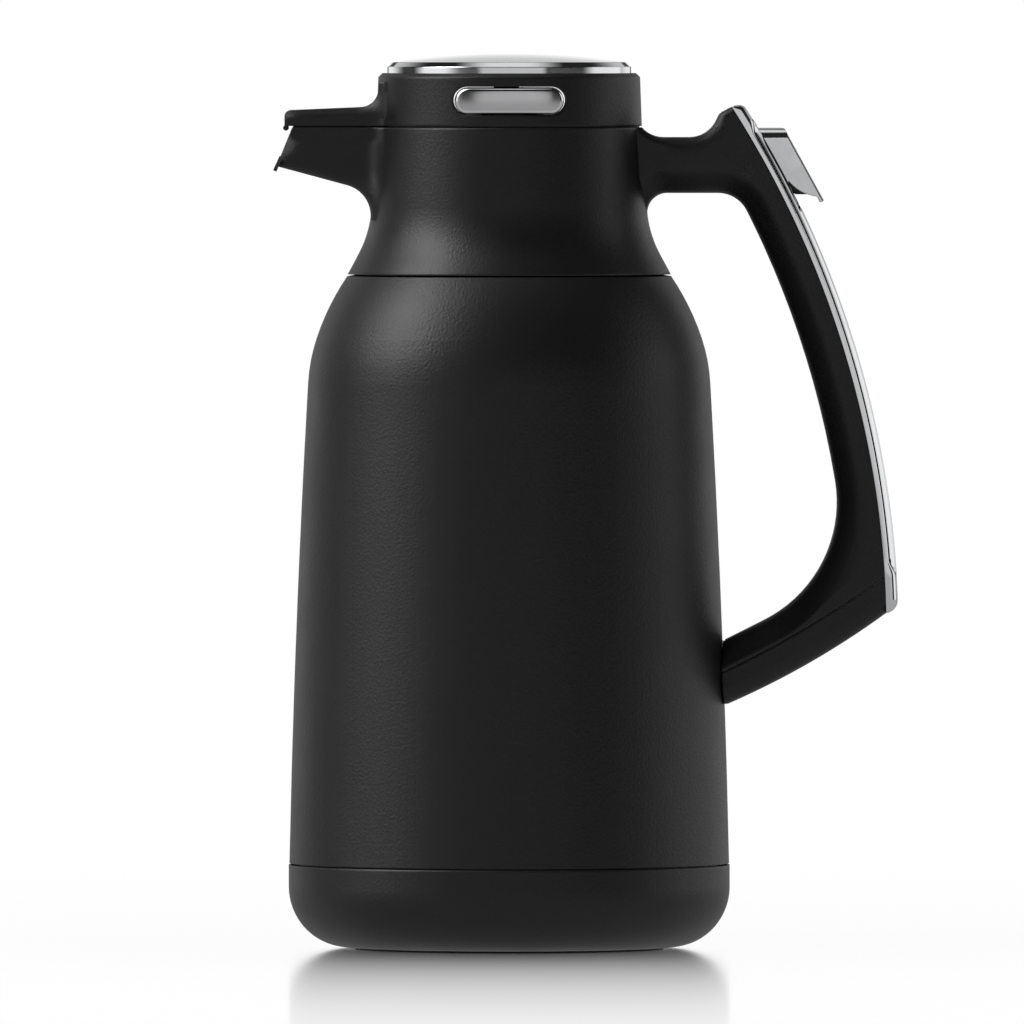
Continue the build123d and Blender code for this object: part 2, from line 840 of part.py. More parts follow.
# Screw from below through the handle into the tab, hidden by the cover
screw_top = tab_plane.offset(tab_thickness)
screw_seat = screw_top.offset(-screw_length)
with BuildPart() as handle_screw:
    with BuildSketch(screw_top):
        with Locations((-screw_setback, 0)):
            Circle(screw_radius)
    extrude(amount=-screw_length)
    with BuildSketch(screw_seat):
        with Locations((-screw_setback, 0)):
            Circle(screw_head_radius)
    extrude(amount=-screw_head_height)
handle_screw.part.label = "handle_screw"
export_step(handle_screw.part, "parts/handle_screw.step")

# Collar, spout, arm and grip: one black moulding
with BuildPart() as collar_handle:
    add(handle_form.part)
    add(spout_form.part)
    with BuildSketch(spout_mouth):
        with Locations((0, -drip_lip_height / 2)):
            RectangleRounded(2 * spout_tip_half_width + drip_lip, drip_lip_height, spout_bottom_round / 2)
    extrude(amount=-drip_lip)
    with BuildSketch(Plane.XZ):
        with BuildLine():
            Polyline(
                (0, collar_foot_height),
                (collar_foot_radius, collar_foot_height),
                (collar_waist_radius, collar_waist_height),
                (collar_top_radius, collar_top_height),
                (0, collar_top_height),
                close=True,
            )
        make_face()
        waist = vertices().sort_by_distance((collar_waist_radius, collar_waist_height))[0]
        fillet(waist, collar_waist_round)
    revolve(axis=Axis.Z)
    # Inside of the collar: skirt, sleeve round the neck, flange and basin for the stopper
    with BuildSketch(Plane.XZ):
        with BuildLine():
            skirt_radius = collar_foot_radius - collar_skirt_wall
            sleeve_radius = neck_radius + 2 * fit_gap
            Polyline(
                (0, collar_foot_height - overcut),
                (skirt_radius, collar_foot_height - overcut),
                (skirt_radius, collar_foot_height),
                (sleeve_radius, collar_waist_height + collar_skirt_wall),
                (sleeve_radius, flange_bottom),
                (flange_bore_radius, flange_bottom),
                (flange_bore_radius, basin_floor),
                (basin_radius, basin_floor),
                (basin_radius, collar_top_height + overcut),
                (0, collar_top_height + overcut),
                close=True,
            )
        make_face()
    revolve(axis=Axis.Z, mode=Mode.SUBTRACT)
    add(spout_channel.part, mode=Mode.SUBTRACT)
    add(body_room.part, mode=Mode.SUBTRACT)
    add(above_seam_cut, mode=Mode.SUBTRACT)
    add(bracket_room, mode=Mode.SUBTRACT)
    # Pocket and tunnel for the thumb lever, and the bore of its pin
    with BuildSketch(Plane.XZ):
        with BuildLine():
            pocket_floor = grip_outer_radius - pocket_depth
            grip_band(pocket_floor, grip_outer_radius + overcut, window_bottom_angle, window_top_angle)
        make_face()
        with Locations(pivot):
            Circle(hub_radius + pocket_gap)
    extrude(amount=window_width / 2, both=True, mode=Mode.SUBTRACT)
    with BuildSketch(Plane.YZ.offset(basin_radius - overcut)):
        with Locations((0, (tunnel_bottom + tunnel_top) / 2)):
            Rectangle(lever_width + 2 * tunnel_side_gap, tunnel_top - tunnel_bottom)
    extrude(amount=pivot[0] - basin_radius + overcut, mode=Mode.SUBTRACT)
    with BuildSketch(Plane.XZ):
        with Locations(pivot):
            Circle(pin_radius + pin_gap)
    extrude(amount=pin_length / 2, both=True, mode=Mode.SUBTRACT)
    # Bore for the handle screw, and the grooves that the lid's latches look into
    with BuildSketch(tab_plane):
        with Locations((-screw_setback, 0)):
            Circle(screw_radius + pin_gap)
    extrude(amount=-screw_length, mode=Mode.SUBTRACT)
    for side in (-1, 1):
        with BuildSketch(Plane.XY.offset(latch_groove_height)):
            with Locations((0, side * basin_radius)):
                Rectangle(latch_width + 2 * latch_side_gap, 2 * latch_groove_cut)
        extrude(amount=latch_tooth + 2 * fit_gap, mode=Mode.SUBTRACT)
collar_handle.part.label = "collar_handle"
export_step(collar_handle.part, "parts/collar_handle.step")

# Cover under the lower arm, over the screw
with BuildPart() as handle_lower_cover:
    add(handle_form.part)
    add(below_seam_gap, mode=Mode.INTERSECT)
    add(body_room.part, mode=Mode.SUBTRACT)
    add(bracket_room, mode=Mode.SUBTRACT)
    with BuildSketch(screw_seat.offset(-screw_well_depth)):
        with Locations((-screw_setback, 0)):
            Circle(screw_head_radius + fit_gap)
    extrude(amount=screw_well_depth + screw_length, mode=Mode.SUBTRACT)
handle_lower_cover.part.label = "handle_lower_cover"
export_step(handle_lower_cover.part, "parts/handle_lower_cover.step")

trim_radius = grip_outer_radius + trim_height
rail_face = grip_outer_radius + rail_thickness

# Window in the trim that the thumb button stands in
with BuildPart() as trim_window:
    with BuildSketch(Plane.XZ):
        with BuildLine():
            window_floor = grip_outer_radius - overcut
            grip_band(window_floor, trim_radius + overcut, window_bottom_angle, window_top_angle)
        make_face()
    extrude(amount=window_width / 2, both=True)

# Chrome rail on the back of the grip, full height at its two ends
with BuildPart() as trim_rail:
    with BuildSketch(Plane.XZ):
        with BuildLine():
            grip_band(grip_outer_radius, rail_face, grip_bottom_angle, grip_top_angle)
        make_face()
        with BuildLine():
            grip_band(grip_outer_radius, trim_radius, top_block_angle, grip_top_angle)
        make_face()
        with BuildLine():
            grip_band(grip_outer_radius, trim_radius, grip_bottom_angle, bottom_block_angle)
        make_face()
        for end_angle in (grip_top_angle, grip_bottom_angle):
            corner_vertex = vertices().sort_by_distance(grip_point(trim_radius, end_angle))[0]
            fillet(corner_vertex, rail_end_round)
    extrude(amount=rail_width / 2, both=True)
    add(trim_window.part, mode=Mode.SUBTRACT)
trim_rail.part.label = "trim_rail"
export_step(trim_rail.part, "parts/trim_rail.step")

# Crown strip that snaps onto the rail and leaves a groove along each side
with BuildPart() as trim_insert:
    crown_start = bottom_block_angle + crown_end_angle
    crown_end = top_block_angle - crown_end_angle
    with BuildSketch(Plane.XZ):
        with BuildLine():
            grip_band(rail_face + groove, trim_radius, crown_start, crown_end)
        make_face()
    extrude(amount=crown_width / 2, both=True)
    long_edges = edges().filter_by(lambda edge: abs((edge @ 0.5).Y) > groove_width / 2)
    fillet(long_edges.sort_by(lambda edge: edge.length)[-2:], crown_edge)
    with BuildSketch(Plane.XZ):
        with BuildLine():
            grip_band(rail_face, rail_face + groove, crown_start, crown_end)
        make_face()
    extrude(amount=groove_width / 2, both=True)
    add(trim_window.part, mode=Mode.SUBTRACT)
trim_insert.part.label = "trim_insert"
export_step(trim_insert.part, "parts/trim_insert.step")

# Hinge pin of the thumb lever
with BuildPart() as lever_pin:
    with BuildSketch(Plane.XZ):
        with Locations(pivot):
            Circle(pin_radius)
    extrude(amount=pin_length / 2 - pin_gap, both=True)
lever_pin.part.label = "lever_pin"
export_step(lever_pin.part, "parts/lever_pin.step")

button_face = Vector(button_tip[0] - button_ledge_end, button_tip[1] - button_top).normalized()
button_inward = Vector(button_face.Y, -button_face.X)
skin_end = Vector(*button_tip) + (button_inward + button_face) * button_skin
skin_ledge = Vector(button_ledge_end, button_top) + button_inward * button_skin
skin_start = skin_ledge + button_face * ((skin_ledge.Y - button_top + button_skin) / -button_face.Y)

# Chrome thumb button: a hollow cap with its lower end scooped out
with BuildPart() as thumb_button:
    with BuildSketch(Plane.XZ):
        with BuildLine():
            Polyline(
                (button_start, button_top),
                (button_ledge_end, button_top),
                button_tip,
                (button_tip[0] - button_lip, button_bottom),
                (button_start, button_bottom),
                close=True,
            )
        make_face()
        fillet(vertices().sort_by_distance((button_ledge_end, button_top))[0], button_edge)
        with BuildLine():
            grip_band(grip_inner_radius, grip_outer_radius + button_sink, 0, horn_lean + grip_top_angle)
        make_face(mode=Mode.SUBTRACT)
        with BuildLine():
            grip_band(grip_inner_radius, 2 * grip_outer_radius, window_top_angle - button_end_angle, 90)
        make_face(mode=Mode.SUBTRACT)
    extrude(amount=button_width / 2, both=True)
    slope = Vector(button_face.X, 0, button_face.Y)
    face_edges = edges().filter_by(lambda edge: (edge % 0.5).cross(slope).length < pin_gap)
    chamfer(face_edges.sort_by(Axis.X)[-2:], button_side_edge)
    with BuildSketch(Plane.YZ):
        with Locations((0, (button_top + button_bottom) / 2)):
            Rectangle(button_width, button_top - button_bottom)
        fillet(vertices().group_by(Axis.Y)[-1], button_top_round)
    extrude(amount=button_tip[0] + overcut, mode=Mode.INTERSECT)
    with BuildSketch(Plane.XZ):
        with BuildLine():
            Polyline(
                (button_start - pocket_depth, button_top - button_skin),
                skin_start,
                skin_end,
                (button_start - pocket_depth, button_bottom - button_skin),
                close=True,
            )
        make_face()
    extrude(amount=button_width / 2 - button_side_wall, both=True, mode=Mode.SUBTRACT)
    with BuildSketch(Plane.XZ):
        with BuildLine():
            scoop = ThreePointArc(
                from_pivot(scoop_start_reach, scoop_start_drop),
                from_pivot(scoop_middle_reach, scoop_middle_drop),
                from_pivot(scoop_end_reach, scoop_end_drop),
            )
            Polyline(
                scoop @ 1,
                skin_end,
                ((scoop @ 0).X - button_lip, button_bottom - button_skin),
                scoop @ 0,
            )
        make_face()
    extrude(amount=button_width, both=True, mode=Mode.SUBTRACT)
thumb_button.part.label = "thumb_button"
export_step(thumb_button.part, "parts/thumb_button.step")

# Lever under the button, through the arm to the valve lifter
with BuildPart() as lever_arm:
    with BuildSketch(Plane.XZ):
        with BuildLine():
            Polyline(
                (nose_reach, nose_height - lever_thickness / 2),
                (pivot[0], pivot[1] - lever_thickness / 2),
                (pivot[0], pivot[1] + lever_thickness / 2),
                (nose_reach, nose_top),
                close=True,
            )
        make_face()
        with Locations(pivot):
            Circle(hub_radius)
            Circle(pin_radius + pin_gap, mode=Mode.SUBTRACT)
    extrude(amount=lever_width / 2, both=True)
    with BuildSketch(Plane.XZ):
        with BuildLine():
            head_end = skin_end + button_inward * fit_gap - button_face * head_foot_setback
            head_start = skin_start + (button_inward + button_face) * fit_gap
            Polyline(
                (pivot[0], pivot[1] + hub_radius),
                (head_start.X - head_ledge, head_start.Y),
                head_start,
                head_end,
                (head_end.X - head_foot, head_end.Y),
                (pivot[0] + hub_radius, pivot[1] - hub_radius / 2),
                close=True,
            )
        make_face()
        with Locations(pivot):
            Circle(hub_radius - hub_overlap, mode=Mode.SUBTRACT)
    extrude(amount=button_width / 2 - button_side_wall - slip_gap, both=True)
lever_arm.part.label = "lever_arm"
export_step(lever_arm.part, "parts/lever_arm.step")

# Outside of the cover that closes the spout from above
with BuildPart() as cover_form:
    with BuildSketch(Plane.XY.offset(lid_foot_height)):
        Circle(lid_top_radius)
        with BuildLine():
            spout_plan(0, -cover_front)
        make_face()
        fillet(vertices().sort_by(Axis.X)[2:4], spout_side_round)
    extrude(amount=lid_ceiling - lid_foot_height)
    with BuildSketch(Plane.XZ):
        with BuildLine():
            Polyline(
                (-basin_radius, lid_foot_height),
                (cover_front, lid_foot_height),
                (cover_front, lid_foot_height + cover_front_rise),
                (-lid_top_radius, lid_foot_height + cover_back_rise),
                (-lid_top_radius, lid_ceiling),
                (-basin_radius, lid_ceiling),
                close=True,
            )
        make_face()
        front_top = (cover_front, lid_foot_height + cover_front_rise)
        back_top = (-lid_top_radius, lid_foot_height + cover_back_rise)
        fillet(vertices().sort_by_distance(front_top)[0], cover_front_round)
        fillet(vertices().sort_by_distance(back_top)[0], cover_blend)
    extrude(amount=collar_top_radius, both=True, mode=Mode.INTERSECT)

# Lid shell with the cover of the spout
with BuildPart() as lid_shell:
    add(cover_form.part)
    with BuildSketch(Plane.XZ):
        with BuildLine():
            Polyline(
                (0, lid_foot_height),
                (lid_foot_radius, lid_foot_height),
                (lid_top_radius, lid_top_height),
                (plate_radius + fit_gap, lid_top_height),
                (plate_radius + fit_gap, lid_top_height - plate_recess),
                (0, lid_top_height - plate_recess),
                close=True,
            )
        make_face()
        chamfer(vertices().sort_by_distance((lid_top_radius, lid_top_height))[0], lid_edge)
    revolve(axis=Axis.Z)
    bead_height = lid_foot_height - cover_bead_radius + fit_gap
    with BuildSketch(Plane.XZ):
        with Locations((cover_front + cover_bead_radius / 2, bead_height)):
            Circle(cover_bead_radius)
    extrude(amount=spout_tip_half_width - cover_bead_radius, both=True)
    # Tongue under the cover, which stands in the spout's channel and closes the seam from inside
    tongue_bottom = collar_top_height - cover_tongue
    tongue_inset = spout_wall + fit_gap
    tongue_reach = -mouth_top[0] - fit_gap
    with BuildSketch(Plane.XY.offset(tongue_bottom)):
        with BuildLine():
            spout_plan(tongue_inset, tongue_reach)
        make_face()
        Circle(basin_radius, mode=Mode.SUBTRACT)
    extrude(amount=lid_foot_height + cover_hollow - tongue_bottom)
    # Hollow inside, the roof of the spout channel and the openings for the release buttons
    with BuildSketch(Plane.XY.offset(lid_foot_height)):
        Circle(lid_foot_radius - lid_wall)
    extrude(amount=lid_ceiling - lid_foot_height, mode=Mode.SUBTRACT)
    with BuildSketch(Plane.XY.offset(tongue_bottom)):
        with BuildLine():
            spout_plan(tongue_inset + cover_tongue_wall, tongue_reach - cover_tongue_wall)
        make_face()
    extrude(amount=lid_foot_height + cover_hollow - tongue_bottom, mode=Mode.SUBTRACT)
    with BuildSketch(Plane.XZ):
        with Locations((0, release_centre_height)):
            SlotOverall(release_length + 2 * release_gap, release_height + 2 * release_gap)
    extrude(amount=lid_foot_radius + overcut, both=True, mode=Mode.SUBTRACT)
    # Snap posts that carry the stopper, and the pin that centres the valve spring
    with BuildSketch(Plane.XY.offset(stopper_top)):
        with PolarLocations(snap_ring_radius, snap_count, start_angle=180 / snap_count):
            Rectangle(snap_thickness, snap_width)
    extrude(amount=lid_ceiling - stopper_top)
    with BuildSketch(Plane.XY.offset(stopper_flange_height)):
        with PolarLocations(snap_ring_radius, snap_count, start_angle=180 / snap_count):
            Rectangle(snap_thickness, snap_tongue)
    extrude(amount=stopper_flange_thickness)
    with BuildSketch(Plane.XY.offset(lid_ceiling)):
        Circle(spring_pin_radius)
    extrude(amount=-spring_pin_length)
lid_shell.part.label = "lid_shell"
export_step(lid_shell.part, "parts/lid_shell.step")

# Chrome plate on top, domed and pressed hollow
with BuildPart() as lid_top_plate:
    with BuildSketch(Plane.XZ):
        with BuildLine():
            plate_bottom = lid_top_height - plate_recess
            plate_shoulder = lid_top_height + plate_side_height
            plate_crown_height = lid_top_height + plate_crown_rise
            crown_end_point = (plate_radius - plate_edge, plate_shoulder + plate_edge)
            crown_drop = plate_crown_height - crown_end_point[1]
            crown_sphere = (crown_end_point[0] ** 2 + crown_drop**2) / (2 * crown_drop)
            RadiusArc((0, plate_crown_height), crown_end_point, crown_sphere)
            Polyline(
                crown_end_point,
                (plate_radius, plate_shoulder),
                (plate_radius, plate_bottom),
                (plate_radius - plate_wall, plate_bottom),
                (plate_radius - plate_wall, plate_shoulder),
                (0, plate_shoulder),
                (0, plate_crown_height),
            )
        make_face()
    revolve(axis=Axis.Z)
lid_top_plate.part.label = "lid_top_plate"
export_step(lid_top_plate.part, "parts/lid_top_plate.step")

# Release buttons, front and back, each with the latch that it pushes inwards
for side, place in ((-1, "front"), (1, "back")):
    with BuildPart() as release_button:
        with BuildSketch(Plane.XZ):
            with Locations((0, release_centre_height)):
                SlotOverall(release_length, release_height)
        extrude(amount=-side * (lid_foot_radius + release_proud))
        with BuildSketch(Plane.XY.offset(release_centre_height - release_height)):
            Circle(lid_foot_radius + release_proud)
            with Locations((0, -side * release_length)):
                Rectangle(3 * release_length, 2 * (release_length + release_back), mode=Mode.SUBTRACT)
        extrude(amount=2 * release_height, mode=Mode.INTERSECT)
        outer_face = faces().filter_by(GeomType.CYLINDER).sort_by(SortBy.AREA)[-1]
        chamfer(outer_face.edges(), release_bevel)
    release_button.part.label = f"release_button_{place}"
    export_step(release_button.part, f"parts/release_button_{place}.step")

    with BuildPart() as latch:
        tooth_bottom = latch_groove_height + fit_gap
        with BuildSketch(Plane.XY.offset(latch_head_bottom)):
            with Locations((0, side * (release_back - latch_head_depth / 2))):
                Rectangle(latch_width, latch_head_depth)
        extrude(amount=latch_head_top - latch_head_bottom)
        with BuildSketch(Plane.XY.offset(tooth_bottom)):
            with Locations((0, side * (latch_inner + latch_leg / 2))):
                Rectangle(latch_width, latch_leg)
        extrude(amount=latch_head_bottom - tooth_bottom)
        with BuildSketch(Plane.XY.offset(tooth_bottom)):
            with Locations((0, side * (release_back - latch_head_depth / 2))):
                Rectangle(latch_width, latch_head_depth)
        extrude(amount=latch_tooth)
    latch.part.label = f"latch_{place}"
    export_step(latch.part, f"parts/latch_{place}.step")

# Bent steel strips that push the latches outwards
with BuildPart() as latch_springs:
    for side, outward in ((-1, Side.LEFT), (1, Side.RIGHT)):
        with BuildSketch(Plane.XY.offset(bow_bottom)):
            with BuildLine():
                knee = (bow_foot + 2 * latch_inner) / 3
                Polyline(
                    (-bow_half_length, side * bow_foot),
                    (-bow_half_length / 2, side * knee),
                    (-bow_half_crest, side * latch_inner),
                    (bow_half_crest, side * latch_inner),
                    (bow_half_length / 2, side * knee),
                    (bow_half_length, side * bow_foot),
                )
                offset(amount=bow_thickness, side=outward, kind=Kind.INTERSECTION)
            make_face()
        extrude(amount=bow_width)
latch_springs.part.label = "latch_springs"
export_step(latch_springs.part, "parts/latch_springs.step")

# Stopper: tube with a valve seat in its floor, hung from a plate in the lid
with BuildPart() as stopper_body:
    with BuildSketch(Plane.XZ):
        with BuildLine():
            plate_edge_radius = basin_radius - fit_gap
            bore_radius = stopper_radius - stopper_wall
            Polyline(
                (seat_radius, stopper_bottom),
                (stopper_radius, stopper_bottom),
                (stopper_radius, stopper_flange_height),
                (plate_edge_radius, stopper_flange_height),
                (plate_edge_radius, stopper_top + stopper_rim_height),
                (plate_edge_radius - stopper_rim_wall, stopper_top + stopper_rim_height),
                (plate_edge_radius - stopper_rim_wall, stopper_top),
                (guide_radius, stopper_top),
                (guide_radius, guide_top),
                (stem_radius + guide_gap, guide_top),
                (stem_radius + guide_gap, stopper_flange_height),
                (bore_radius, stopper_flange_height),
                (bore_radius, seat_height),
                (seat_radius, seat_height),
                close=True,
            )
        make_face()
    revolve(axis=Axis.Z)
    # Outlet towards the spout, and the slot that the lifter moves in
    with BuildSketch(Plane.YZ):
        with Locations((0, (outlet_bottom + outlet_top) / 2)):
            Rectangle(outlet_width, outlet_top - outlet_bottom)
    extrude(amount=-stopper_radius - overcut, mode=Mode.SUBTRACT)
    with BuildSketch(Plane.YZ):
        slot_bottom = lifter_bottom - fit_gap
        with Locations((0, (slot_bottom + stopper_flange_height) / 2)):
            Rectangle(lifter_width + 2 * lifter_slot_gap, stopper_flange_height - slot_bottom)
    extrude(amount=stopper_radius + overcut, mode=Mode.SUBTRACT)
    # Slots for the lid's snap tongues, notches for the latch legs, and posts for the bow springs
    with BuildSketch(Plane.XY.offset(stopper_flange_height)):
        with PolarLocations(snap_ring_radius, snap_count, start_angle=180 / snap_count):
            Rectangle(snap_thickness + 2 * pin_gap, snap_tongue + 2 * pin_gap)
    extrude(amount=stopper_flange_thickness, mode=Mode.SUBTRACT)
    notch_start = latch_inner - release_travel - seam_gap
    post_centre = bow_foot - bow_thickness - post_size / 2
    for side in (-1, 1):
        with BuildSketch(Plane.XY.offset(stopper_flange_height)):
            with Locations((0, side * (notch_start + basin_radius) / 2)):
                Rectangle(latch_width + 2 * lifter_slot_gap, basin_radius - notch_start)
        extrude(amount=stopper_flange_thickness + stopper_rim_height, mode=Mode.SUBTRACT)
        with BuildSketch(Plane.XY.offset(stopper_top)):
            for end in (-1, 1):
                with Locations((end * (bow_half_length - post_size / 2), side * post_centre)):
                    Rectangle(post_size, post_size)
        extrude(amount=bow_bottom + bow_width - stopper_top)
stopper_body.part.label = "stopper_body"
export_step(stopper_body.part, "parts/stopper_body.step")

# Silicone ring that seals the stopper in the bore of the collar
with BuildPart() as stopper_gasket:
    with BuildSketch(Plane.XY.offset(flange_bottom + fit_gap)):
        Circle(flange_bore_radius - fit_gap)
        Circle(stopper_radius, mode=Mode.SUBTRACT)
    extrude(amount=flange_thickness - 2 * fit_gap)
stopper_gasket.part.label = "stopper_gasket"
export_step(stopper_gasket.part, "parts/stopper_gasket.step")

# Silicone face of the valve, on the seat in the stopper's floor
with BuildPart() as valve_seal:
    with BuildSketch(Plane.XY.offset(seat_height)):
        Circle(seat_radius + seal_lap)
    extrude(amount=seal_thickness)
valve_seal.part.label = "valve_seal"
export_step(valve_seal.part, "parts/valve_seal.step")

# Valve disc and stem, with the arm that the thumb lever lifts
with BuildPart() as valve_stem:
    with BuildSketch(Plane.XY.offset(disc_bottom)):
        Circle(seat_radius + seal_lap - seal_edge)
    extrude(amount=valve_disc_thickness)
    with BuildSketch(Plane.XY.offset(disc_top)):
        Circle(stem_radius)
    extrude(amount=stem_top - disc_top)
    with BuildSketch(Plane.XY.offset(lifter_bottom)):
        with Locations((lifter_reach / 2, 0)):
            Rectangle(lifter_reach, lifter_width)
    extrude(amount=lifter_thickness)
valve_stem.part.label = "valve_stem"
export_step(valve_stem.part, "parts/valve_stem.step")

# Cap on the stem, under the spring
with BuildPart() as spring_cap:
    with BuildSketch(Plane.XY.offset(stem_top)):
        Circle(guide_radius)
    extrude(amount=spring_cap_thickness)
spring_cap.part.label = "spring_cap"
export_step(spring_cap.part, "parts/spring_cap.step")

# Valve spring between the cap on the stem and the lid
with BuildPart() as valve_spring:
    with BuildLine():
        spring_bottom = stem_top + spring_cap_thickness + spring_wire / 2
        spring_rise = lid_ceiling - spring_wire / 2 - spring_bottom
        spring_pitch = spring_rise / spring_turns
        coil = Helix(spring_pitch, spring_rise, spring_radius, center=(0, 0, spring_bottom))
    with BuildSketch(Plane(origin=coil @ 0, z_dir=coil % 0)):
        Rectangle(spring_wire, spring_wire)
    sweep(is_frenet=True)
valve_spring.part.label = "valve_spring"
export_step(valve_spring.part, "parts/valve_spring.step")
print(f"gap between the turns of the valve spring {spring_pitch - spring_wire:.2f} mm")
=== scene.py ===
import json
from math import cos, degrees, pi, radians, sin, sqrt

import bmesh
import bpy
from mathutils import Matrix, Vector


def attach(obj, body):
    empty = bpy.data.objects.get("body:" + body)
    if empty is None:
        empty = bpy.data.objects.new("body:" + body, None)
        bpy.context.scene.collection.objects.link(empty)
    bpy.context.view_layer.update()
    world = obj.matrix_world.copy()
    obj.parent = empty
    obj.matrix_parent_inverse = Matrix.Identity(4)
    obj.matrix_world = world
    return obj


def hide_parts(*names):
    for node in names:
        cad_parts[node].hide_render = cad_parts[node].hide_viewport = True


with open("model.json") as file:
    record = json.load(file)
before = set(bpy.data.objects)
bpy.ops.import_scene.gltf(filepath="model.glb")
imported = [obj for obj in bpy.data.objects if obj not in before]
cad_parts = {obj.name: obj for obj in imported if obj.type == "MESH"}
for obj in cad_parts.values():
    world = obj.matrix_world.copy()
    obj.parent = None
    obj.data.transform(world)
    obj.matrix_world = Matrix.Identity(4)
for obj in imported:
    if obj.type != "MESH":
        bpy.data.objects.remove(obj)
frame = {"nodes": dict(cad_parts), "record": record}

scene = bpy.context.scene
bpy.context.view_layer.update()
mm = 0.001
weldDistance = 1e-7


def linearColour(code):
    # sRGB hex to the linear values that the shaders take
    shares = [int(code[i:i + 2], 16) / 255 for i in (1, 3, 5)]
    linear = [s / 12.92 if s <= 0.04045 else ((s + 0.055) / 1.055) ** 2.4 for s in shares]
    return (*linear, 1.0)


paperWhite = linearColour("#ffffff")


def addNode(tree, kind, settings=None, links=None, **attributes):
    node = tree.nodes.new(kind)
    for name, value in attributes.items():
        setattr(node, name, value)
    for socket, value in (settings or {}).items():
        node.inputs[socket].default_value = value
    for socket, source in (links or {}).items():
        tree.links.new(source, node.inputs[socket])
    return node


def newMaterial(name):
    material = bpy.data.materials.new(name)
    material.use_nodes = True
    material.node_tree.nodes.clear()
    return material, material.node_tree


def perMetre(sizeMm):
    # texture scale whose features are this many millimetres wide
    return 1 / (sizeMm * mm)


# Sockets of a Mix node that mixes two colours
mixFirst, mixSecond, mixResult = 6, 7, 2

# Rays that look for the edges, whose rounding is drawn in the normals
bevelRays = 8

# Where the black mouldings are rounded off widely. A limit is a measure and the two values in millimetres
# between which the zone fades in: x and z are places on the object, fromGrip is the distance from the centre
# of the grip's curve, and aboveSeam is the height over the slanted seam of the lower arm.
gripCentre = (-195.5, 0, 101.6)
seamSlope = -0.6
softZones = {
    "gripInside": {
        "roundMm": 7.0,
        "limits": (("fromGrip", 315.5, 312.0), ("x", 47, 54), ("aboveSeam", 49.5, 54.5)),
    },
    "spoutRoot": {
        "roundMm": 7.0,
        "limits": (("x", -31, -37), ("z", 265.0, 261.0), ("z", 226, 234)),
    },
    "lidRoot": {
        "roundMm": 7.0,
        "limits": (("x", -34, -38), ("z", 268.0, 270.0), ("z", 280.0, 276.5)),
    },
    "spoutCover": {
        "roundMm": 2.2,
        "limits": (("x", -45, -48), ("z", 266.6, 266.8)),
    },
}


def roundingOver(tree, place, narrowMm):
    # rounding radius in metres, wide inside the soft zones and narrow elsewhere
    at = addNode(tree, "ShaderNodeSeparateXYZ", links={"Vector": place})
    flat = addNode(tree, "ShaderNodeCombineXYZ", links={"X": at.outputs["X"], "Z": at.outputs["Z"]})
    fromGrip = addNode(tree, "ShaderNodeVectorMath", {1: [part * mm for part in gripCentre]},
                       {0: flat.outputs[0]}, operation="DISTANCE")
    lean = addNode(tree, "ShaderNodeMath", {1: seamSlope}, {0: at.outputs["X"]}, operation="MULTIPLY")
    aboveSeam = addNode(tree, "ShaderNodeMath", links={0: at.outputs["Z"], 1: lean.outputs[0]},
                        operation="ADD")
    measures = {"x": at.outputs["X"], "z": at.outputs["Z"], "fromGrip": fromGrip.outputs["Value"],
                "aboveSeam": aboveSeam.outputs[0]}
    widest = {}
    for zone in softZones.values():
        passed = {}  # each limit fades what the one before it let through
        for measure, low, high in zone["limits"]:
            fade = addNode(tree, "ShaderNodeMapRange",
                           {"From Min": low * mm, "From Max": high * mm, "To Max": zone["roundMm"] * mm},
                           {"Value": measures[measure], **passed}, interpolation_type="SMOOTHSTEP")
            passed = {"To Max": fade.outputs["Result"]}
        wider = addNode(tree, "ShaderNodeMath", {0: narrowMm * mm}, {**widest, 1: passed["To Max"]},
                        operation="MAXIMUM")
        widest = {0: wider.outputs[0]}
    return widest[0]


# Powder-coated steel: the paint cures into a fine pebbled skin, so highlights break up into soft grain
powderCoat = {
    "black": "#0a0a0b",
    "worn": "#161617",
    "grainMm": 0.65,  # the real pebbles are about 0.3 mm wide, and are drawn coarser so that they show
    "grainHeightMm": 0.06,
    "cloudMm": 24,
    "roughness": (0.4, 0.5),
    "specular": 0.4,
    "ior": 1.5,
    "edgeMm": 0.3,
}

# Moulded black polypropylene: spark-eroded mould, a finer and shallower grain than the paint
mouldedPlastic = {
    "black": "#0a0a0b",
    "worn": "#161617",
    "grainMm": 0.6,  # the real grain is about 0.2 mm wide, and is drawn coarser so that it shows
    "grainHeightMm": 0.05,
    "cloudMm": 15,
    "roughness": (0.38, 0.48),
    "specular": 0.4,
    "ior": 1.49,
    "edgeMm": 1.1,
}

# Foot pad of dense rubber: dull, with a coarse dusty mottle and hardly any shine
footRubber = {
    "black": "#161616",
    "worn": "#262625",
    "grainMm": 1.4,  # the real mottle is about 0.5 mm wide, and is drawn coarser so that it shows
    "grainHeightMm": 0.06,
    "cloudMm": 9,
    "roughness": (0.72, 0.85),
    "specular": 0.3,
    "ior": 1.5,
    "edgeMm": 0.4,
}


# What the three grained blacks share
pebbles = {
    "cellShare": 1.3,  # width of the round cells as a share of the grain's
    "speckFrom": 0.35,  # heights of the grain between which it pales
    "speckTo": 0.85,
    "speckShare": 0.6,
    "wearFrom": 0.995,  # cosines of the normal's turn over an edge, where its wear starts and is full
    "wearTo": 0.85,
}


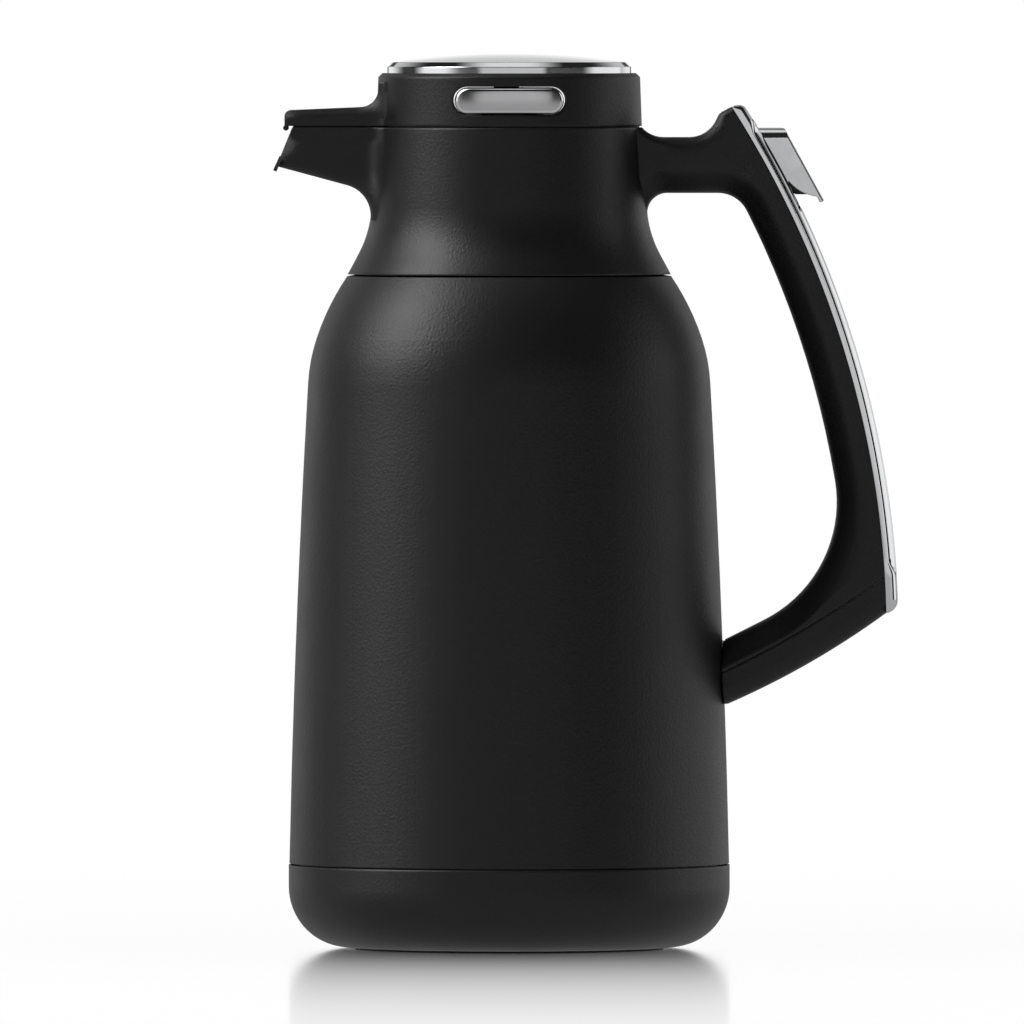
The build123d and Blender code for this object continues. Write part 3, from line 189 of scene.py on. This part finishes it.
def grainedBlack(name, look, softened=False):
    # dark base under a fine pebble bump, with paler edges and a gloss that drifts over the surface
    material, tree = newMaterial(name)
    place = addNode(tree, "ShaderNodeTexCoord").outputs["Object"]
    wide = {"Radius": roundingOver(tree, place, look["edgeMm"])} if softened else {}
    soft = addNode(tree, "ShaderNodeBevel", {"Radius": look["edgeMm"] * mm}, wide, samples=bevelRays)
    flat = addNode(tree, "ShaderNodeNewGeometry")
    turn = addNode(tree, "ShaderNodeVectorMath",
                   links={0: soft.outputs[0], 1: flat.outputs["True Normal"]}, operation="DOT_PRODUCT")
    edge = addNode(tree, "ShaderNodeMapRange",
                   {"From Min": pebbles["wearFrom"], "From Max": pebbles["wearTo"]},
                   {"Value": turn.outputs["Value"]})
    grain = addNode(tree, "ShaderNodeTexNoise", {"Scale": perMetre(look["grainMm"]), "Detail": 2.0},
                    {"Vector": place})
    cellMm = look["grainMm"] * pebbles["cellShare"]
    cells = addNode(tree, "ShaderNodeTexVoronoi", {"Scale": perMetre(cellMm)}, {"Vector": place},
                    feature="SMOOTH_F1")
    height = addNode(tree, "ShaderNodeMath", links={0: grain.outputs["Fac"], 1: cells.outputs["Distance"]},
                     operation="ADD")
    bump = addNode(tree, "ShaderNodeBump", {"Strength": 1.0, "Distance": look["grainHeightMm"] * mm},
                   {"Height": height.outputs[0], "Normal": soft.outputs[0]})
    cloud = addNode(tree, "ShaderNodeTexNoise", {"Scale": perMetre(look["cloudMm"]), "Detail": 3.0},
                    {"Vector": place})
    low, high = look["roughness"]
    gloss = addNode(tree, "ShaderNodeMapRange", {"To Min": low, "To Max": high},
                    {"Value": cloud.outputs["Fac"]})
    speck = addNode(tree, "ShaderNodeMapRange",
                    {"From Min": pebbles["speckFrom"], "From Max": pebbles["speckTo"],
                     "To Max": pebbles["speckShare"]},
                    {"Value": grain.outputs["Fac"]})
    pale = addNode(tree, "ShaderNodeMath", links={0: speck.outputs["Result"], 1: edge.outputs["Result"]},
                   operation="MAXIMUM")
    tone = addNode(tree, "ShaderNodeMix",
                   {mixFirst: linearColour(look["black"]), mixSecond: linearColour(look["worn"])},
                   {0: pale.outputs[0]}, data_type="RGBA")
    shader = addNode(tree, "ShaderNodeBsdfPrincipled",
                     {"IOR": look["ior"], "Specular IOR Level": look["specular"]},
                     {"Base Color": tone.outputs[mixResult], "Roughness": gloss.outputs["Result"],
                      "Normal": bump.outputs["Normal"]})
    addNode(tree, "ShaderNodeOutputMaterial", links={"Surface": shader.outputs["BSDF"]})
    return material


# Chrome plate on ABS: mirror bright, with the faint waviness of the moulding under it
chromePlate = {
    "metal": "#e4e5e6",
    "smudged": "#d6d7d9",
    "roughness": (0.03, 0.08),
    "waveMm": (14, 14, 14),
    "waveHeightMm": 0.02,
    "wipedMm": 18,
    "edgeMm": 0.45,
}

# The same plate on the swept trim and the rims of the release buttons, whose meshes are rounded already
roundedChrome = {**chromePlate, "edgeMm": 0.05}

# Satin chrome on ABS: plated over a finely blasted face, so reflections soften into grey gradients
satinChrome = {
    "metal": "#d2d2d3",
    "smudged": "#c8c8ca",
    "roughness": (0.14, 0.2),
    "waveMm": (0.5, 0.5, 0.5),  # real blasting leaves marks under 0.1 mm, and they are drawn coarser to show
    "waveHeightMm": 0.003,
    "wipedMm": 18,
    "edgeMm": 0.2,
}

# Spun stainless steel: fine rings round the flask's axis, left by the polishing wheel
spunSteel = {
    "metal": "#c6c5c1",
    "smudged": "#b3b2ae",
    "roughness": (0.2, 0.32),
    "waveMm": (30, 30, 0.35),  # real rings are about 0.1 mm apart, and are drawn coarser so that they show
    "waveHeightMm": 0.006,
    "wipedMm": 18,
    "edgeMm": 0.2,
}


def metalSkin(name, look):
    # bright metal whose wave texture may be stretched into rings, with wiped patches that are less clean
    material, tree = newMaterial(name)
    place = addNode(tree, "ShaderNodeTexCoord").outputs["Object"]
    soft = addNode(tree, "ShaderNodeBevel", {"Radius": look["edgeMm"] * mm}, samples=bevelRays)
    spread = addNode(tree, "ShaderNodeMapping", {"Scale": [perMetre(size) for size in look["waveMm"]]},
                     {"Vector": place})
    wave = addNode(tree, "ShaderNodeTexNoise", {"Scale": 1.0, "Detail": 2.0}, {"Vector": spread.outputs[0]})
    bump = addNode(tree, "ShaderNodeBump", {"Strength": 1.0, "Distance": look["waveHeightMm"] * mm},
                   {"Height": wave.outputs["Fac"], "Normal": soft.outputs[0]})
    wiped = addNode(tree, "ShaderNodeTexNoise", {"Scale": perMetre(look["wipedMm"]), "Detail": 4.0},
                    {"Vector": place})
    low, high = look["roughness"]
    gloss = addNode(tree, "ShaderNodeMapRange", {"To Min": low, "To Max": high},
                    {"Value": wiped.outputs["Fac"]})
    tone = addNode(tree, "ShaderNodeMix",
                   {mixFirst: linearColour(look["metal"]), mixSecond: linearColour(look["smudged"])},
                   {0: wiped.outputs["Fac"]}, data_type="RGBA")
    shader = addNode(tree, "ShaderNodeBsdfPrincipled", {"Metallic": 1.0},
                     {"Base Color": tone.outputs[mixResult], "Roughness": gloss.outputs["Result"],
                      "Normal": bump.outputs["Normal"]})
    addNode(tree, "ShaderNodeOutputMaterial", links={"Surface": shader.outputs["BSDF"]})
    return material


# Moulded silicone: milky grey and soft-looking, light enters a little way and comes out again
seals = {
    "grey": "#8d8f90",
    "dusty": "#7c7e7f",
    "grainMm": 0.8,  # the real grain is about 0.2 mm wide, and is drawn coarser so that it shows
    "grainHeightMm": 0.02,
    "dustMm": 10,
    "scatterMm": 0.8,
    "scatterShare": 0.25,
    "roughness": (0.45, 0.58),
    "ior": 1.41,
}


def softSilicone(name, look):
    material, tree = newMaterial(name)
    place = addNode(tree, "ShaderNodeTexCoord").outputs["Object"]
    grain = addNode(tree, "ShaderNodeTexNoise", {"Scale": perMetre(look["grainMm"]), "Detail": 2.0},
                    {"Vector": place})
    dust = addNode(tree, "ShaderNodeTexNoise", {"Scale": perMetre(look["dustMm"]), "Detail": 3.0},
                   {"Vector": place})
    bump = addNode(tree, "ShaderNodeBump", {"Strength": 1.0, "Distance": look["grainHeightMm"] * mm},
                   {"Height": grain.outputs["Fac"]})
    low, high = look["roughness"]
    gloss = addNode(tree, "ShaderNodeMapRange", {"To Min": low, "To Max": high},
                    {"Value": dust.outputs["Fac"]})
    tone = addNode(tree, "ShaderNodeMix",
                   {mixFirst: linearColour(look["grey"]), mixSecond: linearColour(look["dusty"])},
                   {0: dust.outputs["Fac"]}, data_type="RGBA")
    shader = addNode(tree, "ShaderNodeBsdfPrincipled",
                     {"IOR": look["ior"], "Subsurface Weight": look["scatterShare"],
                      "Subsurface Scale": look["scatterMm"] * mm},
                     {"Base Color": tone.outputs[mixResult], "Roughness": gloss.outputs["Result"],
                      "Normal": bump.outputs["Normal"]})
    addNode(tree, "ShaderNodeOutputMaterial", links={"Surface": shader.outputs["BSDF"]})
    return material


print("materials")
finishes = {
    "black_paint": grainedBlack("powderCoatedSteelPebbledBlack", powderCoat),
    "black_moulding": grainedBlack("mouldedPolypropyleneGrainedBlack", mouldedPlastic, softened=True),
    "chrome_plate": metalSkin("platedAbsBrightChrome", chromePlate),
    "stainless": metalSkin("spunStainlessSteel", spunSteel),
    "silicone": softSilicone("mouldedSiliconeGrey", seals),
    "foot_rubber": grainedBlack("mouldedRubberDullBlack", footRubber),
}
buttonSatin = metalSkin("platedAbsSatinChrome", satinChrome)
trimChrome = metalSkin("platedAbsRoundedChrome", roundedChrome)
nodeSlots = {part["node"]: part["material_slot"] for part in frame["record"]["subparts"]}
for name, node in frame["nodes"].items():
    node.data.materials.clear()
    node.data.materials.append(finishes[nodeSlots[name]])


def addPiece(name, mesh, body, materials, sharpOver=35):
    # finished mesh on its body, smooth but for the edges that turn by more than this many degrees
    shape = bmesh.new()
    shape.from_mesh(mesh)
    bmesh.ops.remove_doubles(shape, verts=shape.verts, dist=weldDistance)
    bmesh.ops.dissolve_degenerate(shape, dist=weldDistance, edges=shape.edges)
    bmesh.ops.recalc_face_normals(shape, faces=shape.faces)
    for face in shape.faces:
        face.smooth = True
    for edge in shape.edges:
        edge.smooth = len(edge.link_faces) == 2 and edge.calc_face_angle() < radians(sharpOver)
    shape.to_mesh(mesh)
    shape.free()
    for material in materials:
        mesh.materials.append(material)
    piece = bpy.data.objects.new(name, mesh)
    scene.collection.objects.link(piece)
    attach(piece, body)
    return piece


print("chrome trim on the handle")
# Angles are degrees above +X about the grip's centre, and sections are (half width, height) in millimetres
trimStrip = {
    "centre": (-195.5, 101.6),
    "seatRadius": 317.9,
    "ends": (1.307, 32.643),
    "endRoundMm": (4.0, 3.0),
    "endSteps": 8,
    "blocks": (3.49, 31.405),  # where the full-height ends start to give way to the groove
    "mergeDegrees": 0.9,
    "mergeSteps": 6,
    "window": (25.5, 30.94),  # opening in which the thumb button moves
    "windowHalfWidth": 6.5,
    "stepDegrees": 0.4,
    "grooved": (
        (12, 0), (12, 1.2), (11.95, 1.35), (11.8, 1.45), (11.2, 1.58), (8.8, 1.65), (7.4, 1.65), (7.4, 2.05),
        (8.5, 2.05), (8.5, 2.1), (8.15, 2.5), (7.4, 3.15), (6.5, 3.65), (5, 3.85), (3.5, 3.94), (1.8, 3.98),
        (0, 4),
    ),
    "full": (
        (12, 0), (12, 1.9), (11.85, 2.5), (11.45, 2.95), (10.9, 3.2), (10.2, 3.34), (9.6, 3.42), (9.2, 3.46),
        (8.8, 3.5), (8.5, 3.53), (8.1, 3.57), (7.4, 3.65), (6.5, 3.73), (5, 3.84), (3.5, 3.92), (1.8, 3.98),
        (0, 4),
    ),
    "paintedShadeFaces": (5, 6, 7),  # faces of the section, counted from its foot, that line the groove in black: painted shade in the groove
}


def buildTrim():
    # one skin swept along the grip, with a groove between the ends and an open window for the thumb button
    look = trimStrip
    seat, (centreX, centreZ) = look["seatRadius"], look["centre"]
    low, high = look["ends"]
    windowLow, windowHigh = look["window"]
    angles = {windowLow, windowHigh, *look["blocks"]}
    count = round((high - low) / look["stepDegrees"])
    angles.update(low + (high - low) * i / count for i in range(count + 1))
    for end, roundMm, inward in zip((low, high), look["endRoundMm"], (1, -1)):
        reach = degrees(roundMm / seat)
        angles.update(end + inward * reach * (1 - cos(pi / 2 * i / look["endSteps"]))
                      for i in range(look["endSteps"] + 1))
    for block, inward in zip(look["blocks"], (1, -1)):
        angles.update(block + inward * look["mergeDegrees"] * i / look["mergeSteps"]
                      for i in range(look["mergeSteps"] + 1))
    angles = sorted(angles)
    half = len(look["grooved"])
    across = 2 * half - 1
    verts, faces, tones = [], [], []
    for angle in angles:
        inner = min(angle - look["blocks"][0], look["blocks"][1] - angle) / look["mergeDegrees"]
        share = min(max(inner, 0), 1)
        share = share * share * (3 - 2 * share)
        height = 1.0
        for end, roundMm in zip((low, high), look["endRoundMm"]):
            near = abs(angle - end) / degrees(roundMm / seat)
            if near < 1:
                height = sqrt(max(1 - (1 - near) ** 2, 0))
        section = []
        for (grooveWide, grooveHigh), (fullWide, fullHigh) in zip(look["grooved"], look["full"]):
            section.append((fullWide + (grooveWide - fullWide) * share,
                            (fullHigh + (grooveHigh - fullHigh) * share) * height))
        section += [(-wide, rise) for wide, rise in section[-2::-1]]
        for wide, rise in section + [(look["windowHalfWidth"], 0), (-look["windowHalfWidth"], 0)]:
            radius = seat + rise
            verts.append(((centreX + radius * cos(radians(angle))) * mm, wide * mm,
                          (centreZ + radius * sin(radians(angle))) * mm))
    row = across + 2
    left = [wide for wide, _ in look["grooved"]].index(look["windowHalfWidth"])
    right = across - 1 - left
    last = len(angles) - 1
    opened = [windowLow <= angles[i] and angles[i + 1] <= windowHigh for i in range(last)]

    def addFace(corners, dark=False):
        faces.append(corners)
        tones.append(1 if dark else 0)

    for i in range(last):
        here, there = i * row, (i + 1) * row
        for j in range(across - 1):
            if opened[i] and left <= j < right:
                continue
            side = min(j, across - 2 - j)
            # faces that line the groove take the second finish, black, as painted shade
            addFace((here + j, here + j + 1, there + j + 1, there + j), side in look["paintedShadeFaces"])
        under = [0, across, across + 1, across - 1]
        for k in range(3):
            if k != 1 or not opened[i]:
                addFace((here + under[k], there + under[k], there + under[k + 1], here + under[k + 1]))
        if opened[i]:
            for top, foot in ((left, across), (right, across + 1)):
                addFace((here + top, there + top, there + foot, here + foot))
    for i in range(1, last):
        if opened[i] != opened[i - 1]:
            here = i * row
            addFace([here + j for j in range(left, right + 1)] + [here + across + 1, here + across])
    mesh = bpy.data.meshes.new("trimStrip")
    mesh.from_pydata(verts, [], faces)
    mesh.polygons.foreach_set("material_index", tones)
    # the second finish, the black moulding, is painted shade on the groove's faces
    piece = addPiece("trimStrip", mesh, "carafe", (trimChrome, finishes["black_moulding"]))
    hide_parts("trim_rail", "trim_insert")


buildTrim()

print("release buttons")
releasePill = {
    "lengthMm": 35.4,
    "heightMm": 8.4,
    "centreZ": 275.1,
    "faceRadius": 43.47,
    "backDepth": 38.0,
    "bevelMm": 1.1,
    "bevelSteps": 6,
    "endSteps": 20,
    "straightSteps": 24,
    "sharpOver": 50,
}


def buildReleaseButton(name, side):
    # pill that follows the lid's round side, with a soft bevel all round its face
    look = releasePill
    halfHeight = look["heightMm"] / 2
    halfRun = look["lengthMm"] / 2 - halfHeight

    def outline(inset):
        radius = halfHeight - inset
        points = []
        for i in range(look["straightSteps"]):
            points.append((halfRun - 2 * halfRun * i / look["straightSteps"], radius))
        for i in range(look["endSteps"]):
            turn = pi / 2 + pi * i / look["endSteps"]
            points.append((-halfRun + radius * cos(turn), radius * sin(turn)))
        for i in range(look["straightSteps"]):
            points.append((-halfRun + 2 * halfRun * i / look["straightSteps"], -radius))
        for i in range(look["endSteps"]):
            turn = -pi / 2 + pi * i / look["endSteps"]
            points.append((halfRun + radius * cos(turn), radius * sin(turn)))
        return points

    bevel = look["bevelMm"]
    rings = [(0, None)]
    for i in range(look["bevelSteps"] + 1):
        turn = pi / 2 * i / look["bevelSteps"]
        rings.append((bevel * (1 - cos(turn)), bevel * (1 - sin(turn))))
    verts = []
    for inset, drop in rings:
        for x, z in outline(inset):
            depth = look["backDepth"] if drop is None else sqrt(look["faceRadius"] ** 2 - x * x) - drop
            verts.append((x * mm, side * depth * mm, (look["centreZ"] + z) * mm))
    around = len(outline(0))
    faces = []
    for ring in range(len(rings) - 1):
        here, there = ring * around, (ring + 1) * around
        for i in range(around):
            j = (i + 1) % around
            faces.append((here + i, here + j, there + j, there + i))
    start = look["straightSteps"] + look["endSteps"] // 2  # both ends are closed by strips from this point
    for base in (0, (len(rings) - 1) * around):
        for k in range(around // 2):
            a, b = (start - k) % around, (start - k - 1) % around
            c, d = (start + k + 1) % around, (start + k) % around
            corners = list(dict.fromkeys((base + a, base + b, base + c, base + d)))
            if len(corners) > 2:
                faces.append(corners)
    mesh = bpy.data.meshes.new(name)
    mesh.from_pydata(verts, [], faces)
    facing = around * (len(rings) - 1) + around // 2  # faces from here on are the flat front of the button
    mesh.polygons.foreach_set("material_index", [0 if i < facing else 1 for i in range(len(faces))])
    place = "front" if side < 0 else "back"
    piece = addPiece(name, mesh, f"release_{place}", (trimChrome, buttonSatin),
                     sharpOver=look["sharpOver"])
    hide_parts(f"release_button_{place}")


buildReleaseButton("releaseButtonFront", -1)
buildReleaseButton("releaseButtonBack", 1)

print("foot ring of the lid")
lidRing = {
    "outerRadius": 42.3,
    "innerRadius": 40.9,
    "low": 266.45,
    "high": 266.9,
    "spoutDegrees": 24,
    "steps": 120,
}


def buildLidRing():
    # ring under the lid's edge that keeps light out of the seam, open where the spout's channel passes
    look = lidRing
    start, end = radians(-180 + look["spoutDegrees"]), radians(180 - look["spoutDegrees"])
    section = ((look["innerRadius"], look["low"]), (look["outerRadius"], look["low"]),
               (look["outerRadius"], look["high"]), (look["innerRadius"], look["high"]))
    verts, faces = [], []
    for i in range(look["steps"] + 1):
        turn = start + (end - start) * i / look["steps"]
        verts += [(radius * cos(turn) * mm, radius * sin(turn) * mm, height * mm)
                  for radius, height in section]
    for i in range(look["steps"]):
        for k in range(4):
            faces.append((4 * i + k, 4 * i + (k + 1) % 4, 4 * i + 4 + (k + 1) % 4, 4 * i + 4 + k))
    faces += [(3, 2, 1, 0), tuple(4 * look["steps"] + k for k in range(4))]
    mesh = bpy.data.meshes.new("lidFootRing")
    mesh.from_pydata(verts, [], faces)
    addPiece("lidFootRing", mesh, "lid", (finishes["black_moulding"],))


buildLidRing()

print("studio")
# Sizes are metres, and levels are what a shiny surface sees round the object, where 1 is paper white
studio = {
    "floorSize": 60.0,
    "floorPaint": "#f4f4f4",
    "floorGlow": 0.86,  # share of plain white in the floor round the object's foot
    "floorInMetal": 0.45,
    "mirrorShare": 1.2,  # full mirror under the object, and over 1 so that it stays full a little way
    "mirrorFadesOver": 0.345,
    "mirrorRoughness": 0.1,
    "fadeFrom": 0.25,  # distances over which the shadow fades into plain white
    "fadeTo": 0.8,
    "horizonLevel": 1.0,
    "horizonDegrees": (2, 15),  # heights over which the paper falls from the horizon's level to the back's
    "backLevel": 0.62,
    "paperFrom": (0.45, 0.85),  # how squarely one looks to the back, from where the room ends to all paper
    "roomLevel": 0.02,
    "fillLevel": 0.75,  # what matt surfaces get from all round
}


def buildFloor():
    # pale floor that keeps a contact shadow and a mirror image, both of which fade out into white paper
    bpy.ops.mesh.primitive_plane_add(size=studio["floorSize"])
    floor = bpy.context.object
    floor.name = "floor"
    material, tree = newMaterial("studioFloorWhite")
    place = addNode(tree, "ShaderNodeTexCoord")
    away = addNode(tree, "ShaderNodeVectorMath", links={0: place.outputs["Object"]}, operation="LENGTH")
    drop = addNode(tree, "ShaderNodeMath", {1: -1 / studio["mirrorFadesOver"]}, {0: away.outputs["Value"]},
                   operation="MULTIPLY")
    drop = addNode(tree, "ShaderNodeMath", links={0: drop.outputs[0]}, operation="EXPONENT")
    mirrorShare = addNode(tree, "ShaderNodeMath", {1: studio["mirrorShare"]}, {0: drop.outputs[0]},
                          operation="MULTIPLY", use_clamp=True)
    paintShare = addNode(tree, "ShaderNodeMapRange",
                         {"From Min": studio["fadeFrom"], "From Max": studio["fadeTo"],
                          "To Min": 1 - studio["floorGlow"], "To Max": 0.0},
                         {"Value": away.outputs["Value"]}, interpolation_type="SMOOTHSTEP")
    path = addNode(tree, "ShaderNodeLightPath")
    paint = addNode(tree, "ShaderNodeBsdfDiffuse", {"Color": linearColour(studio["floorPaint"])})
    glow = addNode(tree, "ShaderNodeEmission", {"Color": paperWhite, "Strength": 1.0})
    dimmer = addNode(tree, "ShaderNodeEmission", {"Color": paperWhite, "Strength": studio["floorInMetal"]})
    mirror = addNode(tree, "ShaderNodeBsdfGlossy",
                     {"Color": paperWhite, "Roughness": studio["mirrorRoughness"]})
    paper = addNode(tree, "ShaderNodeMixShader",
                    links={0: paintShare.outputs["Result"], 1: glow.outputs[0], 2: paint.outputs[0]})
    seen = addNode(tree, "ShaderNodeMixShader",
                   links={0: mirrorShare.outputs[0], 1: paper.outputs[0], 2: mirror.outputs[0]})
    shiny = addNode(tree, "ShaderNodeMath", operation="MAXIMUM",
                    links={0: path.outputs["Is Glossy Ray"], 1: path.outputs["Is Transmission Ray"]})
    unseen = addNode(tree, "ShaderNodeMixShader",
                     links={0: shiny.outputs[0], 1: paint.outputs[0], 2: dimmer.outputs[0]})
    whole = addNode(tree, "ShaderNodeMixShader",
                    links={0: path.outputs["Is Camera Ray"], 1: unseen.outputs[0], 2: seen.outputs[0]})
    addNode(tree, "ShaderNodeOutputMaterial", links={"Surface": whole.outputs[0]})
    floor.data.materials.append(material)


# Soft light sources as a shiny surface sees them, in degrees: azimuth 0 is the front, 90 the handle's side.
# A source is at its full level out to its plateau, a share of its half sizes, and fades out from there.
softSources = {
    "leftBank": {"azimuth": -78, "elevation": 40, "wide": 27, "high": 35, "plateau": 0.35, "level": 9.5},
    "leftStrip": {"azimuth": -74, "elevation": 2, "wide": 30, "high": 30, "plateau": 0.35, "level": 1.15},
    "rightBank": {"azimuth": 108, "elevation": 4, "wide": 36, "high": 34, "plateau": 0.5, "level": 1.1},
    "frontCard": {"azimuth": 3, "elevation": 3, "wide": 38, "high": 8, "plateau": 0.8, "level": 0.68},
    "topBank": {"azimuth": 0, "elevation": 90, "wide": 400, "high": 30, "plateau": 0.35, "level": 0.9},
}

# Black flags that stand behind the object on both sides, and draw a thin dark line along bright contours
flags = {
    "azimuth": 165,
    "halfWide": 4,
    "halfFade": 1,
    "level": 0.12,
}


def buildWorld():
    world = bpy.data.worlds.new("studioWorld")
    scene.world = world
    world.use_nodes = True
    tree = world.node_tree
    tree.nodes.clear()
    path = addNode(tree, "ShaderNodeLightPath")
    place = addNode(tree, "ShaderNodeTexCoord")
    aim = addNode(tree, "ShaderNodeSeparateXYZ", links={"Vector": place.outputs["Generated"]})
    front = addNode(tree, "ShaderNodeMath", {1: -1.0}, {0: aim.outputs["Y"]}, operation="MULTIPLY")
    azimuth = addNode(tree, "ShaderNodeMath", links={0: aim.outputs["X"], 1: front.outputs[0]},
                      operation="ARCTAN2")
    elevation = addNode(tree, "ShaderNodeMath", links={0: aim.outputs["Z"]}, operation="ARCSINE")
    angles = addNode(tree, "ShaderNodeCombineXYZ",
                     links={"X": azimuth.outputs[0], "Y": elevation.outputs[0]})

    # white paper behind the object, brightest at the horizon, and a dark room in front of it
    rise = addNode(tree, "ShaderNodeMath", links={0: elevation.outputs[0]}, operation="ABSOLUTE")
    paper = addNode(tree, "ShaderNodeMapRange",
                    {"From Min": radians(studio["horizonDegrees"][0]),
                     "From Max": radians(studio["horizonDegrees"][1]),
                     "To Min": studio["horizonLevel"], "To Max": studio["backLevel"]},
                    {"Value": rise.outputs[0]}, interpolation_type="SMOOTHSTEP")
    level = addNode(tree, "ShaderNodeMapRange",
                    {"From Min": studio["paperFrom"][0], "From Max": studio["paperFrom"][1],
                     "To Min": studio["roomLevel"]},
                    {"Value": aim.outputs["Y"], "To Max": paper.outputs["Result"]},
                    interpolation_type="SMOOTHSTEP")
    total = level.outputs["Result"]
    for source in softSources.values():
        centre = (radians(source["azimuth"]), radians(source["elevation"]), 0)
        size = (1 / radians(source["wide"]), 1 / radians(source["high"]), 0)
        gap = addNode(tree, "ShaderNodeVectorMath", {1: centre}, {0: angles.outputs[0]},
                      operation="SUBTRACT")
        share = addNode(tree, "ShaderNodeVectorMath", {1: size}, {0: gap.outputs[0]}, operation="MULTIPLY")
        reach = addNode(tree, "ShaderNodeVectorMath", links={0: share.outputs[0]}, operation="LENGTH")
        glow = addNode(tree, "ShaderNodeMapRange",
                       {"From Min": source["plateau"], "From Max": 1.0,
                        "To Min": source["level"], "To Max": 0.0},
                       {"Value": reach.outputs["Value"]}, interpolation_type="SMOOTHSTEP")
        total = addNode(tree, "ShaderNodeMath", links={0: total, 1: glow.outputs["Result"]},
                        operation="MAXIMUM").outputs[0]

    # the flags take light away from whatever is there
    turn = addNode(tree, "ShaderNodeMath", links={0: azimuth.outputs[0]}, operation="ABSOLUTE")
    beside = addNode(tree, "ShaderNodeMath", {1: radians(flags["azimuth"])}, {0: turn.outputs[0]},
                     operation="SUBTRACT")
    beside = addNode(tree, "ShaderNodeMath", links={0: beside.outputs[0]}, operation="ABSOLUTE")
    clear = addNode(tree, "ShaderNodeMapRange",
                    {"From Min": radians(flags["halfWide"] - flags["halfFade"]),
                     "From Max": radians(flags["halfWide"] + flags["halfFade"]), "To Min": flags["level"]},
                    {"Value": beside.outputs[0]}, interpolation_type="SMOOTHSTEP")
    total = addNode(tree, "ShaderNodeMath", links={0: total, 1: clear.outputs["Result"]},
                    operation="MULTIPLY").outputs[0]

    # the camera sees white, shiny surfaces see all of the above, and matt ones get a plain fill
    shiny = addNode(tree, "ShaderNodeMath", operation="MAXIMUM",
                    links={0: path.outputs["Is Glossy Ray"], 1: path.outputs["Is Transmission Ray"]})
    lit = addNode(tree, "ShaderNodeMapRange", {"To Min": studio["fillLevel"]},
                  {"Value": shiny.outputs[0], "To Max": total})
    seen = addNode(tree, "ShaderNodeMapRange", {"To Max": 1.0},
                   {"Value": path.outputs["Is Camera Ray"], "To Min": lit.outputs["Result"]})
    light = addNode(tree, "ShaderNodeBackground", {"Color": paperWhite},
                    {"Strength": seen.outputs["Result"]})
    addNode(tree, "ShaderNodeOutputWorld", links={"Surface": light.outputs[0]})


# Lamps for the matt surfaces and the shadow on the floor, with azimuths as above and distances in metres.
# Shiny surfaces see the soft sources instead.
lamps = {
    "leftSoftbox": {"azimuth": -72, "elevation": 40, "away": 1.4, "size": (0.8, 0.8), "watts": 7.0},
    "topSoftbox": {"azimuth": 30, "elevation": 72, "away": 1.4, "size": (0.9, 0.9), "watts": 5.0},
}
lampTarget = Vector((0, 0, 0.16))


def addLamp(name, look):
    turn, lift = radians(look["azimuth"]), radians(look["elevation"])
    out = Vector((sin(turn) * cos(lift), -cos(turn) * cos(lift), sin(lift)))
    light = bpy.data.lights.new(name, "AREA")
    light.shape = "RECTANGLE"
    light.size, light.size_y = look["size"]
    light.energy = look["watts"]
    lamp = bpy.data.objects.new(name, light)
    scene.collection.objects.link(lamp)
    lamp.location = lampTarget + out * look["away"]
    lamp.rotation_euler = (-out).to_track_quat("-Z", "Y").to_euler()
    lamp.visible_camera = False
    lamp.visible_glossy = False


# Long lens from far away, a little above the lid, as the photo is taken
camera = {
    "away": 10.0,
    "height": 0.318,
    "aim": (0.0009, 0.0, 0.1415),
    "lens": 1083.0,
    "sensorWidth": 36.0,
    "clipEnd": 200.0,
}


def addCamera():
    data = bpy.data.cameras.new("photoCamera")
    data.lens = camera["lens"]
    data.sensor_width = camera["sensorWidth"]
    data.clip_end = camera["clipEnd"]
    view = bpy.data.objects.new("photoCamera", data)
    scene.collection.objects.link(view)
    view.location = (camera["aim"][0], -camera["away"], camera["height"])
    view.rotation_euler = (Vector(camera["aim"]) - view.location).to_track_quat("-Z", "Y").to_euler()
    scene.camera = view


buildFloor()
buildWorld()
for name, look in lamps.items():
    addLamp(name, look)
addCamera()
scene.view_settings.view_transform = "Standard"
